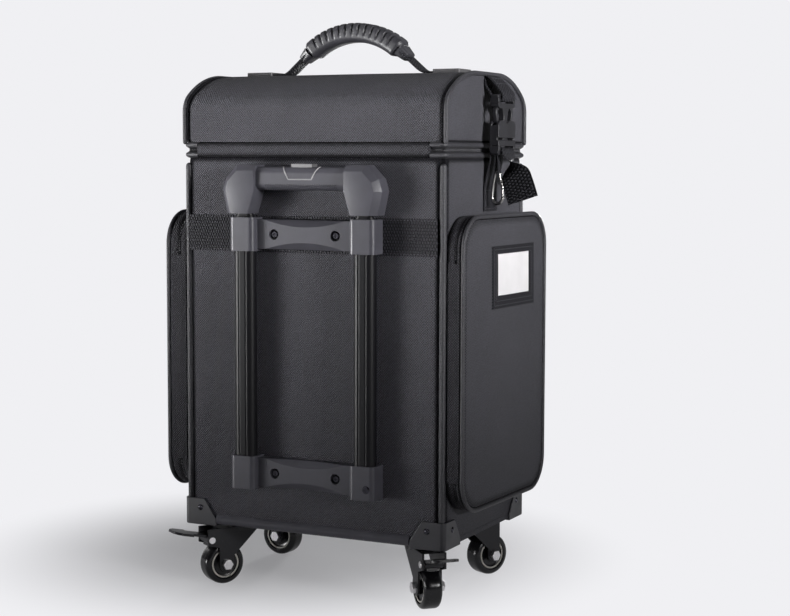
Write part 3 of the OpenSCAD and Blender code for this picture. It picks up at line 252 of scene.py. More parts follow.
def finish(name, marks, colours, rough, bump, depth=0.0001, sizes=(), seams=False, shine=0.5, **shader):
    """A finish whose colour goes from dark to light, and whose roughness changes, with a group's marks.

    With seams, the mesh carries painted shade: where its shade values are high, the colour is darker and the
    shine lower, as the folds beside a piping look in shade.
    """
    group, tone, height = marks
    made = bpy.data.materials.new(name)
    made.use_nodes = True
    w = Wiring(made.node_tree)
    surface = made.node_tree.nodes["Principled BSDF"].inputs
    surface["Specular IOR Level"].default_value = shine
    for key, value in shader.items():
        surface[key.replace("_", " ").title()].default_value = value
    given = w.add("ShaderNodeGroup", node_tree=group)
    for key, value in dict(sizes).items():
        given.inputs[key].default_value = value
    lightness = given.outputs[tone]
    # Painted shade: the mesh's shade values darken the colour and take away the shine in folds, grooves and
    # beside piping, where shade falls
    if seams:
        painted_shade = w.add("ShaderNodeAttribute", attribute_name="painted_shade").outputs["Fac"]
        lightness = w.math("SUBTRACT", lightness, w.times(painted_shade, SEAM_SHADE), True)
        w.link(w.times(w.math("SUBTRACT", 1, painted_shade), shine), surface["Specular IOR Level"])
    colour = w.add("ShaderNodeMix", {"Factor": lightness}, data_type="RGBA")
    for socket, value in zip([s for s in colour.inputs if s.type == "RGBA"], colours):
        socket.default_value = (*value, 1)
    w.link([s for s in colour.outputs if s.type == "RGBA"][0], surface["Base Color"])
    w.link(w.spread(given.outputs[tone], 0, 1, *rough), surface["Roughness"])
    raised = w.first("ShaderNodeBump", {"Height": given.outputs[height], "Strength": bump, "Distance": depth})
    w.link(raised, surface["Normal"])
    return made


def greys(dark, light, blue=1.2):
    """Two greys, a little towards violet as the cloth is."""
    return [(value * 1.02, value, value * blue) for value in (dark, light)]


CLOTH = finish("charcoal cloth", WEAVE, greys(0.008, 0.078), (0.5, 0.7), 0.8, 0.0006, seams=True,
               sheen_weight=0.03, sheen_roughness=0.5, shine=0.25)
BINDING = finish("bias binding", WEAVE, greys(0.005, 0.046), (0.42, 0.58), 0.4, 0.0004, {"Pitch": 0.0016},
                 seams=True, sheen_weight=0.02, shine=0.4)
STRAP = finish("black webbing", RIBS, greys(0.002, 0.040), (0.5, 0.75), 1.0, 0.0010,
               {"Across": 0.0036, "Along": 0.0034}, shine=0.12)
TAIL_STRAP = finish("coarse webbing", RIBS, greys(0.002, 0.034), (0.45, 0.7), 1.0, 0.0012,
                    {"Across": 0.0042, "Along": 0.0038}, shine=0.15)
THREAD = finish("sewing thread", WEAVE, greys(0.02, 0.08), (0.45, 0.65), 0.2, 0.0002, {"Pitch": 0.0005},
                shine=0.4)
PLASTIC = finish("satin moulding", GRAIN, greys(0.048, 0.060), (0.40, 0.32), 0.06, shine=0.25)
DULL_PLASTIC = finish("dull moulding", GRAIN, greys(0.020, 0.032), (0.46, 0.38), 0.1, shine=0.45)
BUCKLE_PLASTIC = finish("buckle moulding", GRAIN, greys(0.010, 0.016), (0.50, 0.42), 0.05, shine=0.35)
TUBE = finish("satin black tube", HAIRLINES, greys(0.004, 0.008), (0.36, 0.42), 0.004, shine=0.12)
BLACK_STEEL = finish("gloss black steel", SCUFFS, greys(0.016, 0.030), (0.30, 0.40), 0.03,
                     sizes={"Stretch": (260, 260, 260)}, shine=0.35)
NICKEL = finish("nickel plate", HAIRLINES, greys(0.28, 0.40, 0.98), (0.20, 0.28), 0.02, metallic=1.0)
ZINC = finish("zinc bolt", HAIRLINES, greys(0.80, 0.90, 1.02), (0.24, 0.34), 0.03, metallic=0.85)
DARK_SCREW = finish("blackened screw", HAIRLINES, greys(0.03, 0.06), (0.18, 0.26), 0.02, metallic=1.0)
BRUSHED = finish("brushed plate", HAIRLINES, greys(0.15, 0.21, 1.03), (0.58, 0.68), 0.08,
                 sizes={"Stretch": (14, 1800, 1800)}, metallic=1.0)
SILVER = finish("silver paint", GRAIN, greys(0.11, 0.15, 1.03), (0.45, 0.38), 0.05, metallic=0.3)
LINE_PAINT = finish("silver line paint", GRAIN, greys(0.26, 0.32, 1.03), (0.45, 0.38), 0.05, metallic=0.2)
RUBBER = finish("gloss black tread", SCUFFS, greys(0.008, 0.016), (0.20, 0.32), 0.03,
                sizes={"Stretch": (160, 160, 160)}, shine=0.45)
CREAM = finish("cream ring", GRAIN, [(0.72, 0.69, 0.64), (0.80, 0.77, 0.72)], (0.45, 0.35), 0.05)
CARD = finish("card under film", GRAIN, greys(0.60, 0.65, 1.02), (0.55, 0.45), 0.03, shine=0.1)


# Making meshes

def shown(name, data):
    """A new object at the origin, in the scene."""
    made = bpy.data.objects.new(name, data)
    scene.collection.objects.link(made)
    return made


def piece(name, shape, finishes, body=None, nodes=(), smooth=40, uv=None, of_face=None, painted_shade=None):
    """A piece of the case made of points and faces; it rides on a body when one body is named, and stands for
    CAD nodes.
    """
    points, faces = shape
    mesh = bpy.data.meshes.new(name)
    mesh.from_pydata([Vector(p) * MM for p in points], [], faces)
    for one in finishes if isinstance(finishes, (list, tuple)) else [finishes]:
        mesh.materials.append(one)
    if of_face:
        mesh.polygons.foreach_set("material_index", of_face)
    if uv:
        layer = mesh.uv_layers.new(name="UVMap")
        for loop in mesh.loops:
            layer.data[loop.index].uv = Vector(uv[loop.vertex_index]) * MM
    # Painted shade: a value at each point that darkens the cloth and dulls its shine where shade falls in
    # folds and grooves
    if painted_shade:
        mesh.attributes.new("painted_shade", "FLOAT", "POINT").data.foreach_set("value", painted_shade)
    bm = bmesh.new()
    bm.from_mesh(mesh)
    if not uv:
        bmesh.ops.remove_doubles(bm, verts=bm.verts, dist=1e-6)
    bmesh.ops.recalc_face_normals(bm, faces=bm.faces)
    bm.to_mesh(mesh)
    bm.free()
    made = shown(name, mesh)
    if smooth:
        mesh.shade_smooth()
        mesh.set_sharp_from_angle(angle=math.radians(smooth))
    if body:
        fit(made, body, nodes)
    return made


def fit(made, body, nodes=()):
    """Fastens a finished piece to its body when one body is named; given two bodies and their places instead,
    it fastens the piece to neither and leaves it where it was made.
    """
    if isinstance(body, str):
        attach(made, body)
    else:
        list(body)
        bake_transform(made)
    if nodes:
        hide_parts(*nodes)
    return made


def round_edges(made, width, segments=2, angle=35, flat=True):
    """Rounds a piece's sharp edges and, if flat, keeps its flat faces flat."""
    rounding = made.modifiers.new("Rounded edges", "BEVEL")
    rounding.width = width * MM
    rounding.segments = segments
    rounding.limit_method = "ANGLE"
    rounding.angle_limit = math.radians(angle)
    made.data.shade_smooth()
    if flat:
        level = made.modifiers.new("Flat faces", "WEIGHTED_NORMAL")
        level.keep_sharp = True
    return made


def softened(node, finish_of_it, width, segments=2, angle=35, flat=True):
    """A hard piece with the CAD node's own shape and rounded edges."""
    mesh = frame["nodes"][node].data.copy()
    mesh.name = node + "_rounded"
    bm = bmesh.new()
    bm.from_mesh(mesh)
    bmesh.ops.remove_doubles(bm, verts=bm.verts, dist=2e-6)
    bmesh.ops.dissolve_limit(bm, angle_limit=math.radians(1), verts=bm.verts, edges=bm.edges)
    bm.to_mesh(mesh)
    bm.free()
    mesh.materials.clear()
    mesh.materials.append(finish_of_it)
    made = shown(mesh.name, mesh)
    round_edges(made, width, segments, angle, flat)
    return fit(made, frame["nodes"][node]["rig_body"], [node])


def skin(rows, wrap=True, caps=False):
    """A surface through rows of points; wrap closes each row, caps close the ends."""
    count = len(rows[0])
    points = [p for row in rows for p in row]
    faces = []
    for i in range(len(rows) - 1):
        for j in range(count if wrap else count - 1):
            a, b = i * count + j, i * count + (j + 1) % count
            faces.append((a, b, b + count, a + count))
    if caps:
        faces.append(tuple(reversed(range(count))))
        faces.append(tuple(range(len(points) - count, len(points))))
    return points, faces


def joined(*shapes):
    """Several shapes as one."""
    points, faces = [], []
    for more_points, more_faces in shapes:
        start = len(points)
        points += list(more_points)
        faces += [tuple(i + start for i in face) for face in more_faces]
    return points, faces


def moved(shape, matrix):
    """A shape turned and shifted by a matrix."""
    return [matrix @ Vector(p) for p in shape[0]], shape[1]


def slab(outline, low, high, place):
    """An outline run from low to high; place puts its three numbers on the case."""
    count = len(outline)
    points = [place(a, b, c) for c in (low, high) for a, b in outline]
    faces = [tuple(reversed(range(count))), tuple(range(count, 2 * count))]
    faces += [(i, (i + 1) % count, (i + 1) % count + count, i + count) for i in range(count)]
    return points, faces


def directions(path, closed=False):
    """The way a path runs at each of its points."""
    count = len(path)
    out = []
    for i in range(count):
        before = path[i - 1] if i or closed else path[i]
        after = path[(i + 1) % count] if i < count - 1 or closed else path[i]
        out.append((after - before).normalized())
    return out


def tube(path, radius, sides=12, closed=False):
    """A round cord or wire on a path, with domed ends."""
    path = [Vector(p) for p in path]
    runs = directions(path, closed)
    across = runs[0].orthogonal().normalized()
    rows = []
    for i, (point, run) in enumerate(zip(path, runs)):
        if i:
            across = runs[i - 1].rotation_difference(run) @ across
        up = run.cross(across)
        turns = [2 * math.pi * k / sides for k in range(sides)]
        rows.append([(across * math.cos(t) + up * math.sin(t), point) for t in turns])
    at = [[point + way * radius for way, point in row] for row in rows]
    if closed:
        return skin(at + at[:1])
    domes = []
    for end, run in ((0, -runs[0]), (-1, runs[-1])):
        domes.append([[point + way * radius * math.cos(t) + run * radius * math.sin(t)
                       for way, point in rows[end]] for t in (0.5, 1.0, 1.4)])
    return skin(domes[0][::-1] + at + domes[1], caps=True)


def lathe(profile, turns=48, closed=True):
    """A turned piece about z from points of radius and height."""
    rows = [[(r * math.cos(2 * math.pi * k / turns), r * math.sin(2 * math.pi * k / turns), z)
             for k in range(turns)] for r, z in profile]
    return skin(rows + (rows[:1] if closed else []), caps=not closed)


def smooth_path(knots, gap=3.0):
    """A rounded line through its knots, with points about a gap apart."""
    knots = [Vector(k) for k in knots]
    out = []
    for i in range(len(knots) - 1):
        p0, p1, p2 = knots[max(i - 1, 0)], knots[i], knots[i + 1]
        p3 = knots[min(i + 2, len(knots) - 1)]
        steps = max(2, round((p2 - p1).length / gap))
        for k in range(steps):
            t = k / steps
            out.append(0.5 * (2 * p1 + (p2 - p0) * t + (2 * p0 - 5 * p1 + 4 * p2 - p3) * t ** 2
                              + (3 * p1 - p0 - 3 * p2 + p3) * t ** 3))
    return out + [knots[-1]]


def mirrored_path(side, knots, gap=3.0):
    """A rounded line on the right side, or its mirror image on the left."""
    return [Vector((side * p.x, p.y, p.z)) for p in smooth_path(knots, gap)]


def webbing(name, path, sides, widths, thickness, body, nodes=(), finish_of_it=None):
    """A woven strap along a path; sides say which way its width runs."""
    columns = 8
    runs = directions(path)
    rows, uv, along = [], [], 0.0
    for i, (centre, run) in enumerate(zip(path, runs)):
        along += (centre - path[i - 1]).length if i else 0.0
        side = Vector(sides[i] if isinstance(sides, list) else sides)
        side = (side - run * side.dot(run)).normalized()
        out = run.cross(side)
        width = widths[i] if isinstance(widths, list) else widths
        row = []
        for sign in (1, -1):
            for k in range(columns + 1):
                u = (k / columns - 0.5) * sign
                thin = 1 - 0.45 * (2 * abs(u)) ** 10
                row.append(centre + side * u * width + out * (sign * thickness / 2 * thin))
                uv.append((u * width, along))
        rows.append(row)
    return piece(name, skin(rows, caps=True), finish_of_it or STRAP, body, nodes, 50, uv)


def rounded_loop(low, high, radius, gap=8, corner=10):
    """Points round a rectangle with round corners, each with its outward direction."""
    (a0, b0), (a1, b1) = low, high
    corners = [(a1 - radius, b0 + radius, -90), (a1 - radius, b1 - radius, 0),
               (a0 + radius, b1 - radius, 90), (a0 + radius, b0 + radius, 180)]
    out = []
    for i, (a, b, start) in enumerate(corners):
        for k in range(corner + 1):
            t = math.radians(start + 90 * k / corner)
            out.append((a + radius * math.cos(t), b + radius * math.sin(t), math.cos(t), math.sin(t)))
        na, nb, turn = corners[(i + 1) % 4]
        t = math.radians(turn)
        end = (na + radius * math.cos(t), nb + radius * math.sin(t))
        begin = out[-1]
        steps = max(1, round(math.dist(begin[:2], end) / gap))
        for k in range(1, steps):
            s = k / steps
            out.append((begin[0] + (end[0] - begin[0]) * s, begin[1] + (end[1] - begin[1]) * s, *begin[2:]))
    return out


def bell(distance, width):
    """1 at no distance, and little past a width."""
    return math.exp(-(distance / width) ** 2)


def wave(*place):
    """Gentle unevenness of cloth over board, from -1 to 1."""
    return noise.noise(Vector(place))


# Rows of stitches, zip teeth and ribs, and rivets, by geometry nodes

def put_on(w, out, points, shape, turn, size, finish_of_it):
    """Ends a tree: a smooth shape stands on each point, as real mesh with its finish."""
    soft = w.first("GeometryNodeSetShadeSmooth", {"Geometry": shape})
    scale = w.first("ShaderNodeCombineXYZ", dict(enumerate(size)))
    placed = w.first("GeometryNodeInstanceOnPoints",
                     {"Points": points, "Instance": soft, "Rotation": turn, "Scale": scale})
    real = w.first("GeometryNodeRealizeInstances", {"Geometry": placed})
    w.link(w.first("GeometryNodeSetMaterial", {"Geometry": real, "Material": finish_of_it}), out.inputs[0])
    return w.tree


def make_row_tree():
    """Rounded beads at an even spacing along lines; each line carries its own up direction."""
    w, given, out = open_group("beads along a line", "GeometryNodeTree", [
        ("Line", "NodeSocketGeometry", None), ("Spacing", FLOAT, 0.004), ("Long", FLOAT, 0.003),
        ("Wide", FLOAT, 0.0007), ("Thick", FLOAT, 0.0005), ("Finish", "NodeSocketMaterial", None),
    ], [("Geometry", "NodeSocketGeometry", None)])
    curve = w.first("GeometryNodeMeshToCurve", {"Mesh": given["Line"]})
    spaced = w.first("GeometryNodeResampleCurve", {"Curve": curve, "Length": given["Spacing"]}, mode="LENGTH")
    up = w.first("GeometryNodeInputNamedAttribute", {"Name": "up"}, data_type="FLOAT_VECTOR")
    turn = w.first("FunctionNodeAxesToRotation", {0: up, 1: w.first("GeometryNodeInputTangent")})
    bead = w.first("GeometryNodeMeshUVSphere", {"Segments": 8, "Rings": 4, "Radius": 0.5})
    size = given["Long"], given["Wide"], given["Thick"]
    return put_on(w, out, spaced, bead, turn, size, given["Finish"])


def make_rivet_tree():
    """A domed head on a flange at each point, standing along the point's up direction."""
    w, given, out = open_group("rivets on points", "GeometryNodeTree", [
        ("Points", "NodeSocketGeometry", None), ("Radius", FLOAT, 0.0036), ("Height", FLOAT, 0.0015),
        ("Finish", "NodeSocketMaterial", None),
    ], [("Geometry", "NodeSocketGeometry", None)])
    up = w.first("GeometryNodeInputNamedAttribute", {"Name": "up"}, data_type="FLOAT_VECTOR")
    turn = w.first("FunctionNodeAlignRotationToVector", {"Vector": up}, axis="Z")
    dome_r = 0.8
    both = w.add("GeometryNodeJoinGeometry")
    dome = w.first("GeometryNodeMeshUVSphere", {"Segments": 20, "Rings": 10, "Radius": dome_r})
    w.link(dome, both.inputs[0])
    ring = w.first("GeometryNodeMeshCylinder", {"Vertices": 24, "Radius": 1.0, "Depth": 0.5})
    w.link(ring, both.inputs[0])
    size = given["Radius"], given["Radius"], w.math("DIVIDE", given["Height"], dome_r)
    return put_on(w, out, given["Points"], both.outputs[0], turn, size, given["Finish"])


ROW_TREE, RIVET_TREE = make_row_tree(), make_rivet_tree()


def grown(name, lines, tree, values, body, nodes=()):
    """Runs a tree on lines of (points, up or ups, closed or not) and keeps the result as a plain mesh."""
    points, edges, ups = [], [], []
    for line, up, closed in lines:
        start = len(points)
        points += [Vector(p) * MM for p in line]
        each = up if isinstance(up, list) else [up] * len(line)
        ups += [c for way in each for c in Vector(way).normalized()]
        if tree is ROW_TREE:
            edges += [(start + i, start + i + 1) for i in range(len(line) - 1)]
            edges += [(len(points) - 1, start)] if closed else []
    mesh = bpy.data.meshes.new(name)
    mesh.from_pydata(points, edges, [])
    mesh.attributes.new("up", "FLOAT_VECTOR", "POINT").data.foreach_set("vector", ups)
    made = shown(name, mesh)
    grower = made.modifiers.new("Grower", "NODES")
    keys = {s.name: s.identifier for s in tree.interface.items_tree if s.in_out == "INPUT"}
    grower.node_group = tree
    for label, value in values.items():
        grower[keys[label]] = value
    whole = bpy.data.meshes.new_from_object(made.evaluated_get(bpy.context.evaluated_depsgraph_get()))
    made.modifiers.remove(grower)
    made.data = whole
    whole.name = name
    return fit(made, body, nodes)


def beads(name, lines, spacing, size, finish_of_it, body, nodes=()):
    """Rows of beads: zip teeth, ribs or stitches."""
    values = {"Spacing": spacing * MM, "Long": size[0] * MM, "Wide": size[1] * MM, "Thick": size[2] * MM,
              "Finish": finish_of_it}
    return grown(name, lines, ROW_TREE, values, body, nodes)


def stitches(name, lines, body, spacing=4.2):
    """Rows of sewing thread."""
    return beads(name, lines, spacing, (3.0, 0.8, 0.6), THREAD, body)


# The body's covered boards

# How far from a piped edge the painted shade stays full before it fades, and where the cloth's rows lie
# closer together
CREASE_SHADE_REACH = 3.0
TURN_IN = (1.5, 3, 4.5, 6, 8.5)


def covered_board(node, axis, sign):
    """A board wrapped in cloth, drawn in along its piped edges."""
    low, high = (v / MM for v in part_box(node))
    along = 1 - axis
    face, back = (high[axis], low[axis]) if sign > 0 else (low[axis], high[axis])
    columns, rows_up = round((high[along] - low[along]) / 7), round((high[2] - low[2]) / 7)

    def at(out, u, z):
        p = [0, 0, z]
        p[axis], p[along] = out, u
        return tuple(p)

    def relief(u, z):
        edge = min(u - low[along], high[along] - u)
        top = high[2] - z
        return (1.6 * bell(edge, 3.0) + 1.3 * bell(edge, 9.0) + 0.8 * bell(top, 2.5)
                + 0.25 + 0.25 * wave(u * 0.011, z * 0.008, 3.0 * sign + axis))

    # Painted shade: full near the piped side edges and under the top edge, fading inward
    def painted_crease_shade(u, z):
        edge, top = min(u - low[along], high[along] - u), high[2] - z
        return min(1, bell(max(0, edge - CREASE_SHADE_REACH), 2.2) + bell(max(0, top - 2), 2.5))

    def spaced(first, last, count):
        """Closer together at both ends, where the cloth turns in."""
        inner = [first + (last - first) * i / count for i in range(count + 1)]
        return sorted({*inner, *(first + s for s in TURN_IN), *(last - s for s in TURN_IN)})

    us, zs = spaced(low[along], high[along], columns), spaced(low[2], high[2], rows_up)
    points = [at(face - sign * relief(u, z), u, z) for z in zs for u in us]
    painted_shade = [painted_crease_shade(u, z) for z in zs for u in us]
    wide = len(us)
    faces = [(j * wide + i, j * wide + i + 1, (j + 1) * wide + i + 1, (j + 1) * wide + i)
             for j in range(len(zs) - 1) for i in range(wide - 1)]
    rim = list(range(wide)) + [j * wide + wide - 1 for j in range(1, len(zs))]
    rim += [(len(zs) - 1) * wide + i for i in reversed(range(wide - 1))]
    rim += [j * wide for j in reversed(range(1, len(zs) - 1))]
    start = len(points)
    points += [at(back, points[i][along], points[i][2]) for i in rim]
    # The turned-in rim and the back get full painted shade
    painted_shade += [1] * len(rim)
    count = len(rim)
    faces += [(rim[(k + 1) % count], rim[k], start + k, start + (k + 1) % count) for k in range(count)]
    faces.append(tuple(start + k for k in range(count)))
    piece(node + "_cloth", (points, faces), CLOTH, "case", [node], 60, painted_shade=painted_shade)


covered_board("back_panel", 1, -1)
covered_board("front_panel", 1, 1)
covered_board("right_panel", 0, 1)
covered_board("left_panel", 0, -1)
softened("bottom_board", CLOTH, 1.0)


def piping_posts():
    """Corded piping up the four edges, each with the stitched line of its binding."""
    posts, seams = [], []
    for x in (-PIPED_X, PIPED_X):
        for y in (-PIPED_Y, PIPED_Y):
            path = [(x + 0.15 * wave(x, y, z * 0.02), y + 0.15 * wave(y, x, z * 0.02), z)
                    for z in range(83, 504, 10)]
            posts.append(tube(path, 3.9, 16))
            for turn in (-62, 62):
                corner = math.radians(45 if x * y > 0 else 135) + (math.pi if y < 0 else 0)
                t = corner + math.radians(turn)
                way = Vector((math.cos(t), math.sin(t), 0))
                seams.append(([Vector((x, y, z)) + way * 3.9 for z in range(108, 500, 20)], way, False))
    piece("edge_piping_cords", joined(*posts), BINDING, "case", ["edge_piping"], 60)
    stitches("edge_piping_seams", seams, "case")


piping_posts()


def plan_path(inset, radius):
    """Round the sides and front, from one end of the fabric hinge to the other."""
    loop = rounded_loop((inset - HALF_W, inset - HALF_D), (HALF_W - inset, HALF_D - inset), radius, 8, 8)
    start = min(range(len(loop)), key=lambda i: abs(loop[i][0] - HINGE_HALF) + abs(loop[i][1] + HALF_D))
    loop = loop[start:] + loop[:start]
    kept = [p for p in loop if not (p[1] < -HALF_D + 12 and abs(p[0]) < HINGE_HALF)]
    edge, start = inset - HALF_D, HINGE_HALF + 1.6
    return [(start, edge, 0, -1)] + kept + [(-start, edge, 0, -1)]


def plan_band(path, section):
    """A band round the case whose section is given as insets and heights."""
    rows = [[(a - na * inset, b - nb * inset, z) for inset, z in section] for a, b, na, nb in path]
    return skin(rows, caps=True)


def lid_zip():
    """The two lips of the lid's zip, each with its row of teeth."""
    path = plan_path(0, 8)
    lower = [(6.2, 507), (4.3, 507), (4.2, 512.2), (1.2, 513.2), (-0.9, 514.6), (-1.6, 516.4), (-1.0, 518.1),
             (1.4, 519.6), (4.6, 521.6), (6.2, 521.6)]
    upper = [(inset, 2 * ZIP_Z - z) for inset, z in lower]
    # Painted shade on the lips: full on the tucked-in tape and beside the teeth, none on the outer bulge
    painted_crease_shades = [1, 1, 1, 0.5, 0, 0, 0, 0.5, 1, 1] * len(path)
    for name, section, body in (("lower", lower, "case"), ("upper", upper, "lid")):
        piece("zip_lip_" + name, plan_band(path, section), BINDING, body, ["zip_tape_" + name], 60,
              painted_shade=painted_crease_shades)
    ups = [(na, nb, 0) for _, _, na, nb in path]
    for name, z, body, shift in (("lower", 521.15, "case", 0), ("upper", 522.85, "lid", 1)):
        line = [(a - na * 3.4, b - nb * 3.4, z) for a, b, na, nb in path]
        line[0] = (line[0][0] + shift, *line[0][1:])
        beads("zip_teeth_" + name, [(line, ups, False)], 2.0, (1.2, 2.2, 1.6), DULL_PLASTIC, body)


lid_zip()


def hinge_roll():
    """The roll of cloth that the lid turns on, with the flap inside the back board."""
    section = [(-115.0, 514.2), (-116.6, 516.2), (-117.4, 519), (-117.5, 522), (-117.4, 525), (-116.6, 527.8),
               (-115.0, 529.8), (-112.5, 530.2), (-111.2, 527), (-109.7, 521.5), (-109.7, 508),
               (-109.7, 493.4), (-110.9, 493.4), (-110.9, 508), (-111.4, 514)]
    rows = []
    for x in [-151.2, -150.9, -150, *range(-148, 149, 4), 150, 150.9, 151.2]:
        sag = 0.35 * wave(x * 0.02, 1.0, 5.0) - 0.1
        end = 1 - 0.35 * max(0.0, (abs(x) - 149) / 2.2) ** 2
        row = []
        for y, z in section:
            outside = y < -115.5
            out = -113 + (y + 113) * end + (sag if outside else 0)
            up = ZIP_Z + (z - ZIP_Z) * end if z > 514 else z
            row.append((x, out, up + (0.4 * wave(x * 0.03, y, 2.0) if outside else 0)))
        rows.append(row)
    # Painted shade: the roll is darker at its top and bottom creases than on its bulge, and fully dark on the
    # flap inside
    piece("hinge_roll_cloth", skin(rows, caps=True), CLOTH,
          ("case", "lid", (0, -0.115, 0.5145), (0, -0.115, 0.5295)), ["hinge_cover"], 70,
          painted_shade=[1, 0.7, 0.25, 0.2, 0.25, 0.7, 1, 1, 1, 1, 1, 1, 1, 1, 1] * len(rows))


hinge_roll()


def back_band():
    """The webbing band across the back, sewn along both edges."""
    path = [Vector((x, -115.75, BAND_Z)) for x in range(-163, 164, 4)]
    webbing("back_band_webbing", path, (0, 0, 1), 42, 1.5, "case", ["back_webbing"])
    lines = [([(x, -116.55, BAND_Z + s * 18.6) for x in range(-161, 162, 10)], (0, -1, 0), False)
             for s in (-1, 1)]
    stitches("back_band_stitches", lines, "case")


back_band()


# Rails, protectors and rivets

softened("bottom_rails", PLASTIC, 0.6)
softened("corner_protectors", DULL_PLASTIC, 1.0, 3)


def corner_rivets():
    """One rivet in each face of each corner protector."""
    heads = []
    for x in (-1, 1):
        for y in (-1, 1):
            heads.append(([(x * 150, y * 117.1, RIVET_Z)], (0, y, 0), False))
            heads.append(([(x * 172.1, y * 95, RIVET_Z)], (x, 0, 0), False))
    values = {"Radius": 3.6 * MM, "Height": 1.5 * MM, "Finish": DARK_SCREW}
    grown("corner_rivet_heads", heads, RIVET_TREE, values, "case", ["corner_rivets"])


corner_rivets()


# The lid

def lid_edge(inset=0.0, steps=7):
    """The lid's end outline from the front's foot over the top to the back's foot."""
    r, side, top = LID_EDGE_R - inset, HALF_D - inset, LID_TOP - LID_Z
    half = [(side, 0), (side, 2), (side, 4), (side, 8), (side, 18), (side, 27), (side, LID_WALL)]
    turn = math.acos(0.6)
    for k in range(1, steps + 1):
        t = turn * k / steps
        half.append((HALF_D - LID_EDGE_R + r * math.cos(t), LID_WALL + r * math.sin(t)))
    crown = LID_CROWN_R - inset
    for k in range(1, steps + 3):
        t = turn + (math.pi / 2 - turn) * k / (steps + 2)
        half.append((LID_CROWN_Y + crown * math.cos(t), top - LID_CROWN_R + crown * math.sin(t)))
    middle = [(LID_CROWN_Y * k / 4, top - inset) for k in (3, 2, 1, 0)]
    whole = half + middle + [(-y, z) for y, z in reversed(half + middle[:-1])]
    return [(y, LID_Z + z) for y, z in whole]


def lid_cover():
    """The cloth over the lid's back, top and front, drawn in beside its piping."""
    outer, inner = lid_edge(), lid_edge(4.0)
    rows, painted_shade = [], []
    ends = (157, 161, 163.5, 165, LID_END_X)
    for x in [*(-x for x in reversed(ends)), *range(-150, 151, 10), *ends]:
        edge = LID_END_X - abs(x)
        draw = 1.4 * bell(edge, 3.0) + 1.4 * bell(edge, 9.0)
        # Painted shade beside the piping at both ends of the lid
        painted_shade += [bell(edge, 2.4)] * (2 * len(outer))
        row = []
        for i, (y, z) in enumerate(outer):
            ny, nz = (y - inner[i][0]) / 4, (z - inner[i][1]) / 4
            foot = 1.6 * bell(z - LID_Z, 3.0)
            flat = 0 if z > LID_TOP - 0.5 and abs(y) < 22 and 100 < abs(x) < 146 else 1
            drop = draw + foot + flat * (0.3 + 0.3 * wave(x * 0.01, y * 0.012, z * 0.012))
            row.append((x, y - ny * drop, z - nz * drop))
        rows.append(row + [(x, y, z) for y, z in reversed(inner)])
    piece("lid_shell_cloth", skin(rows, caps=True), CLOTH, "lid", ["lid_shell"], 60, painted_shade=painted_shade)


lid_cover()


def lid_end(name, side):
    """One padded end of the lid, crowned inside its piping."""
    outline = lid_edge()
    centre = (0.0, LID_Z + 38)
    foot = [(y, LID_Z) for y in range(-104, 105, 13)]
    loop = outline + foot
    rows = [[(side * x, y, z) for y, z in loop] for x in (LID_END_X, LID_FACE_X)]
    shares = (0.03, 0.045, 0.06, 0.075, 0.10, 0.16, 0.28, 0.45, 0.65, 0.85)
    for share in shares:
        row = []
        for y, z in loop:
            a, b = y + (centre[0] - y) * share, z + (centre[1] - z) * share
            lift = 1.6 * min(1, share / 0.3) ** 0.8 - 0.5 + 0.35 * wave(a * 0.02, b * 0.02, side)
            strap = abs(a - STRAP_Y) < 21
            row.append((side * (LID_FACE_X + (min(lift, 0.7) if strap else lift)), a, b))
        rows.append(row)
    # Painted shade: full at the rim under the piping, fading within a few hundredths of the way in
    painted_shade = [1.0] * (2 * len(loop)) + [bell(max(0, share - 0.04), 0.018) for share in shares for _ in loop]
    piece("lid_end_" + name, skin(rows, caps=True), CLOTH, "lid", ["lid_ends"], 60, painted_shade=painted_shade)
    rim = [Vector((side * LID_CORD_X, y, z)) for y, z in lid_edge(1.5, 9)]
    piece("lid_piping_" + name, tube(rim, 2.7, 14), BINDING, "lid", ["lid_piping"], 60)
    line = [(side * LID_CORD_X, y, z) for y, z in lid_edge(5.6, 9)]
    stitches("lid_end_seam_" + name, [(line, (side, 0, 0), False)], "lid")


for side_name, side_sign in SIDES.items():
    lid_end(side_name, side_sign)


# The side pockets

def face_x(name, y, z, crown=1.0):
    """How far out a pocket's soft face stands at a place on it."""
    back, front = POCKET_DEPTH[name]
    flat = HALF_W + back + (front - back) * (y - POCKET_BACK) / (POCKET_FRONT - POCKET_BACK)
    round_y = max(0.0, 1 - ((y - POCKET_Y) / (POCKET_FRONT - POCKET_Y)) ** 2)
    round_z = max(0.0, 1 - ((z - POCKET_Z) / (POCKET_HIGH - POCKET_Z)) ** 2)
    return flat + crown * 2.2 * (round_y * round_z) ** 0.6


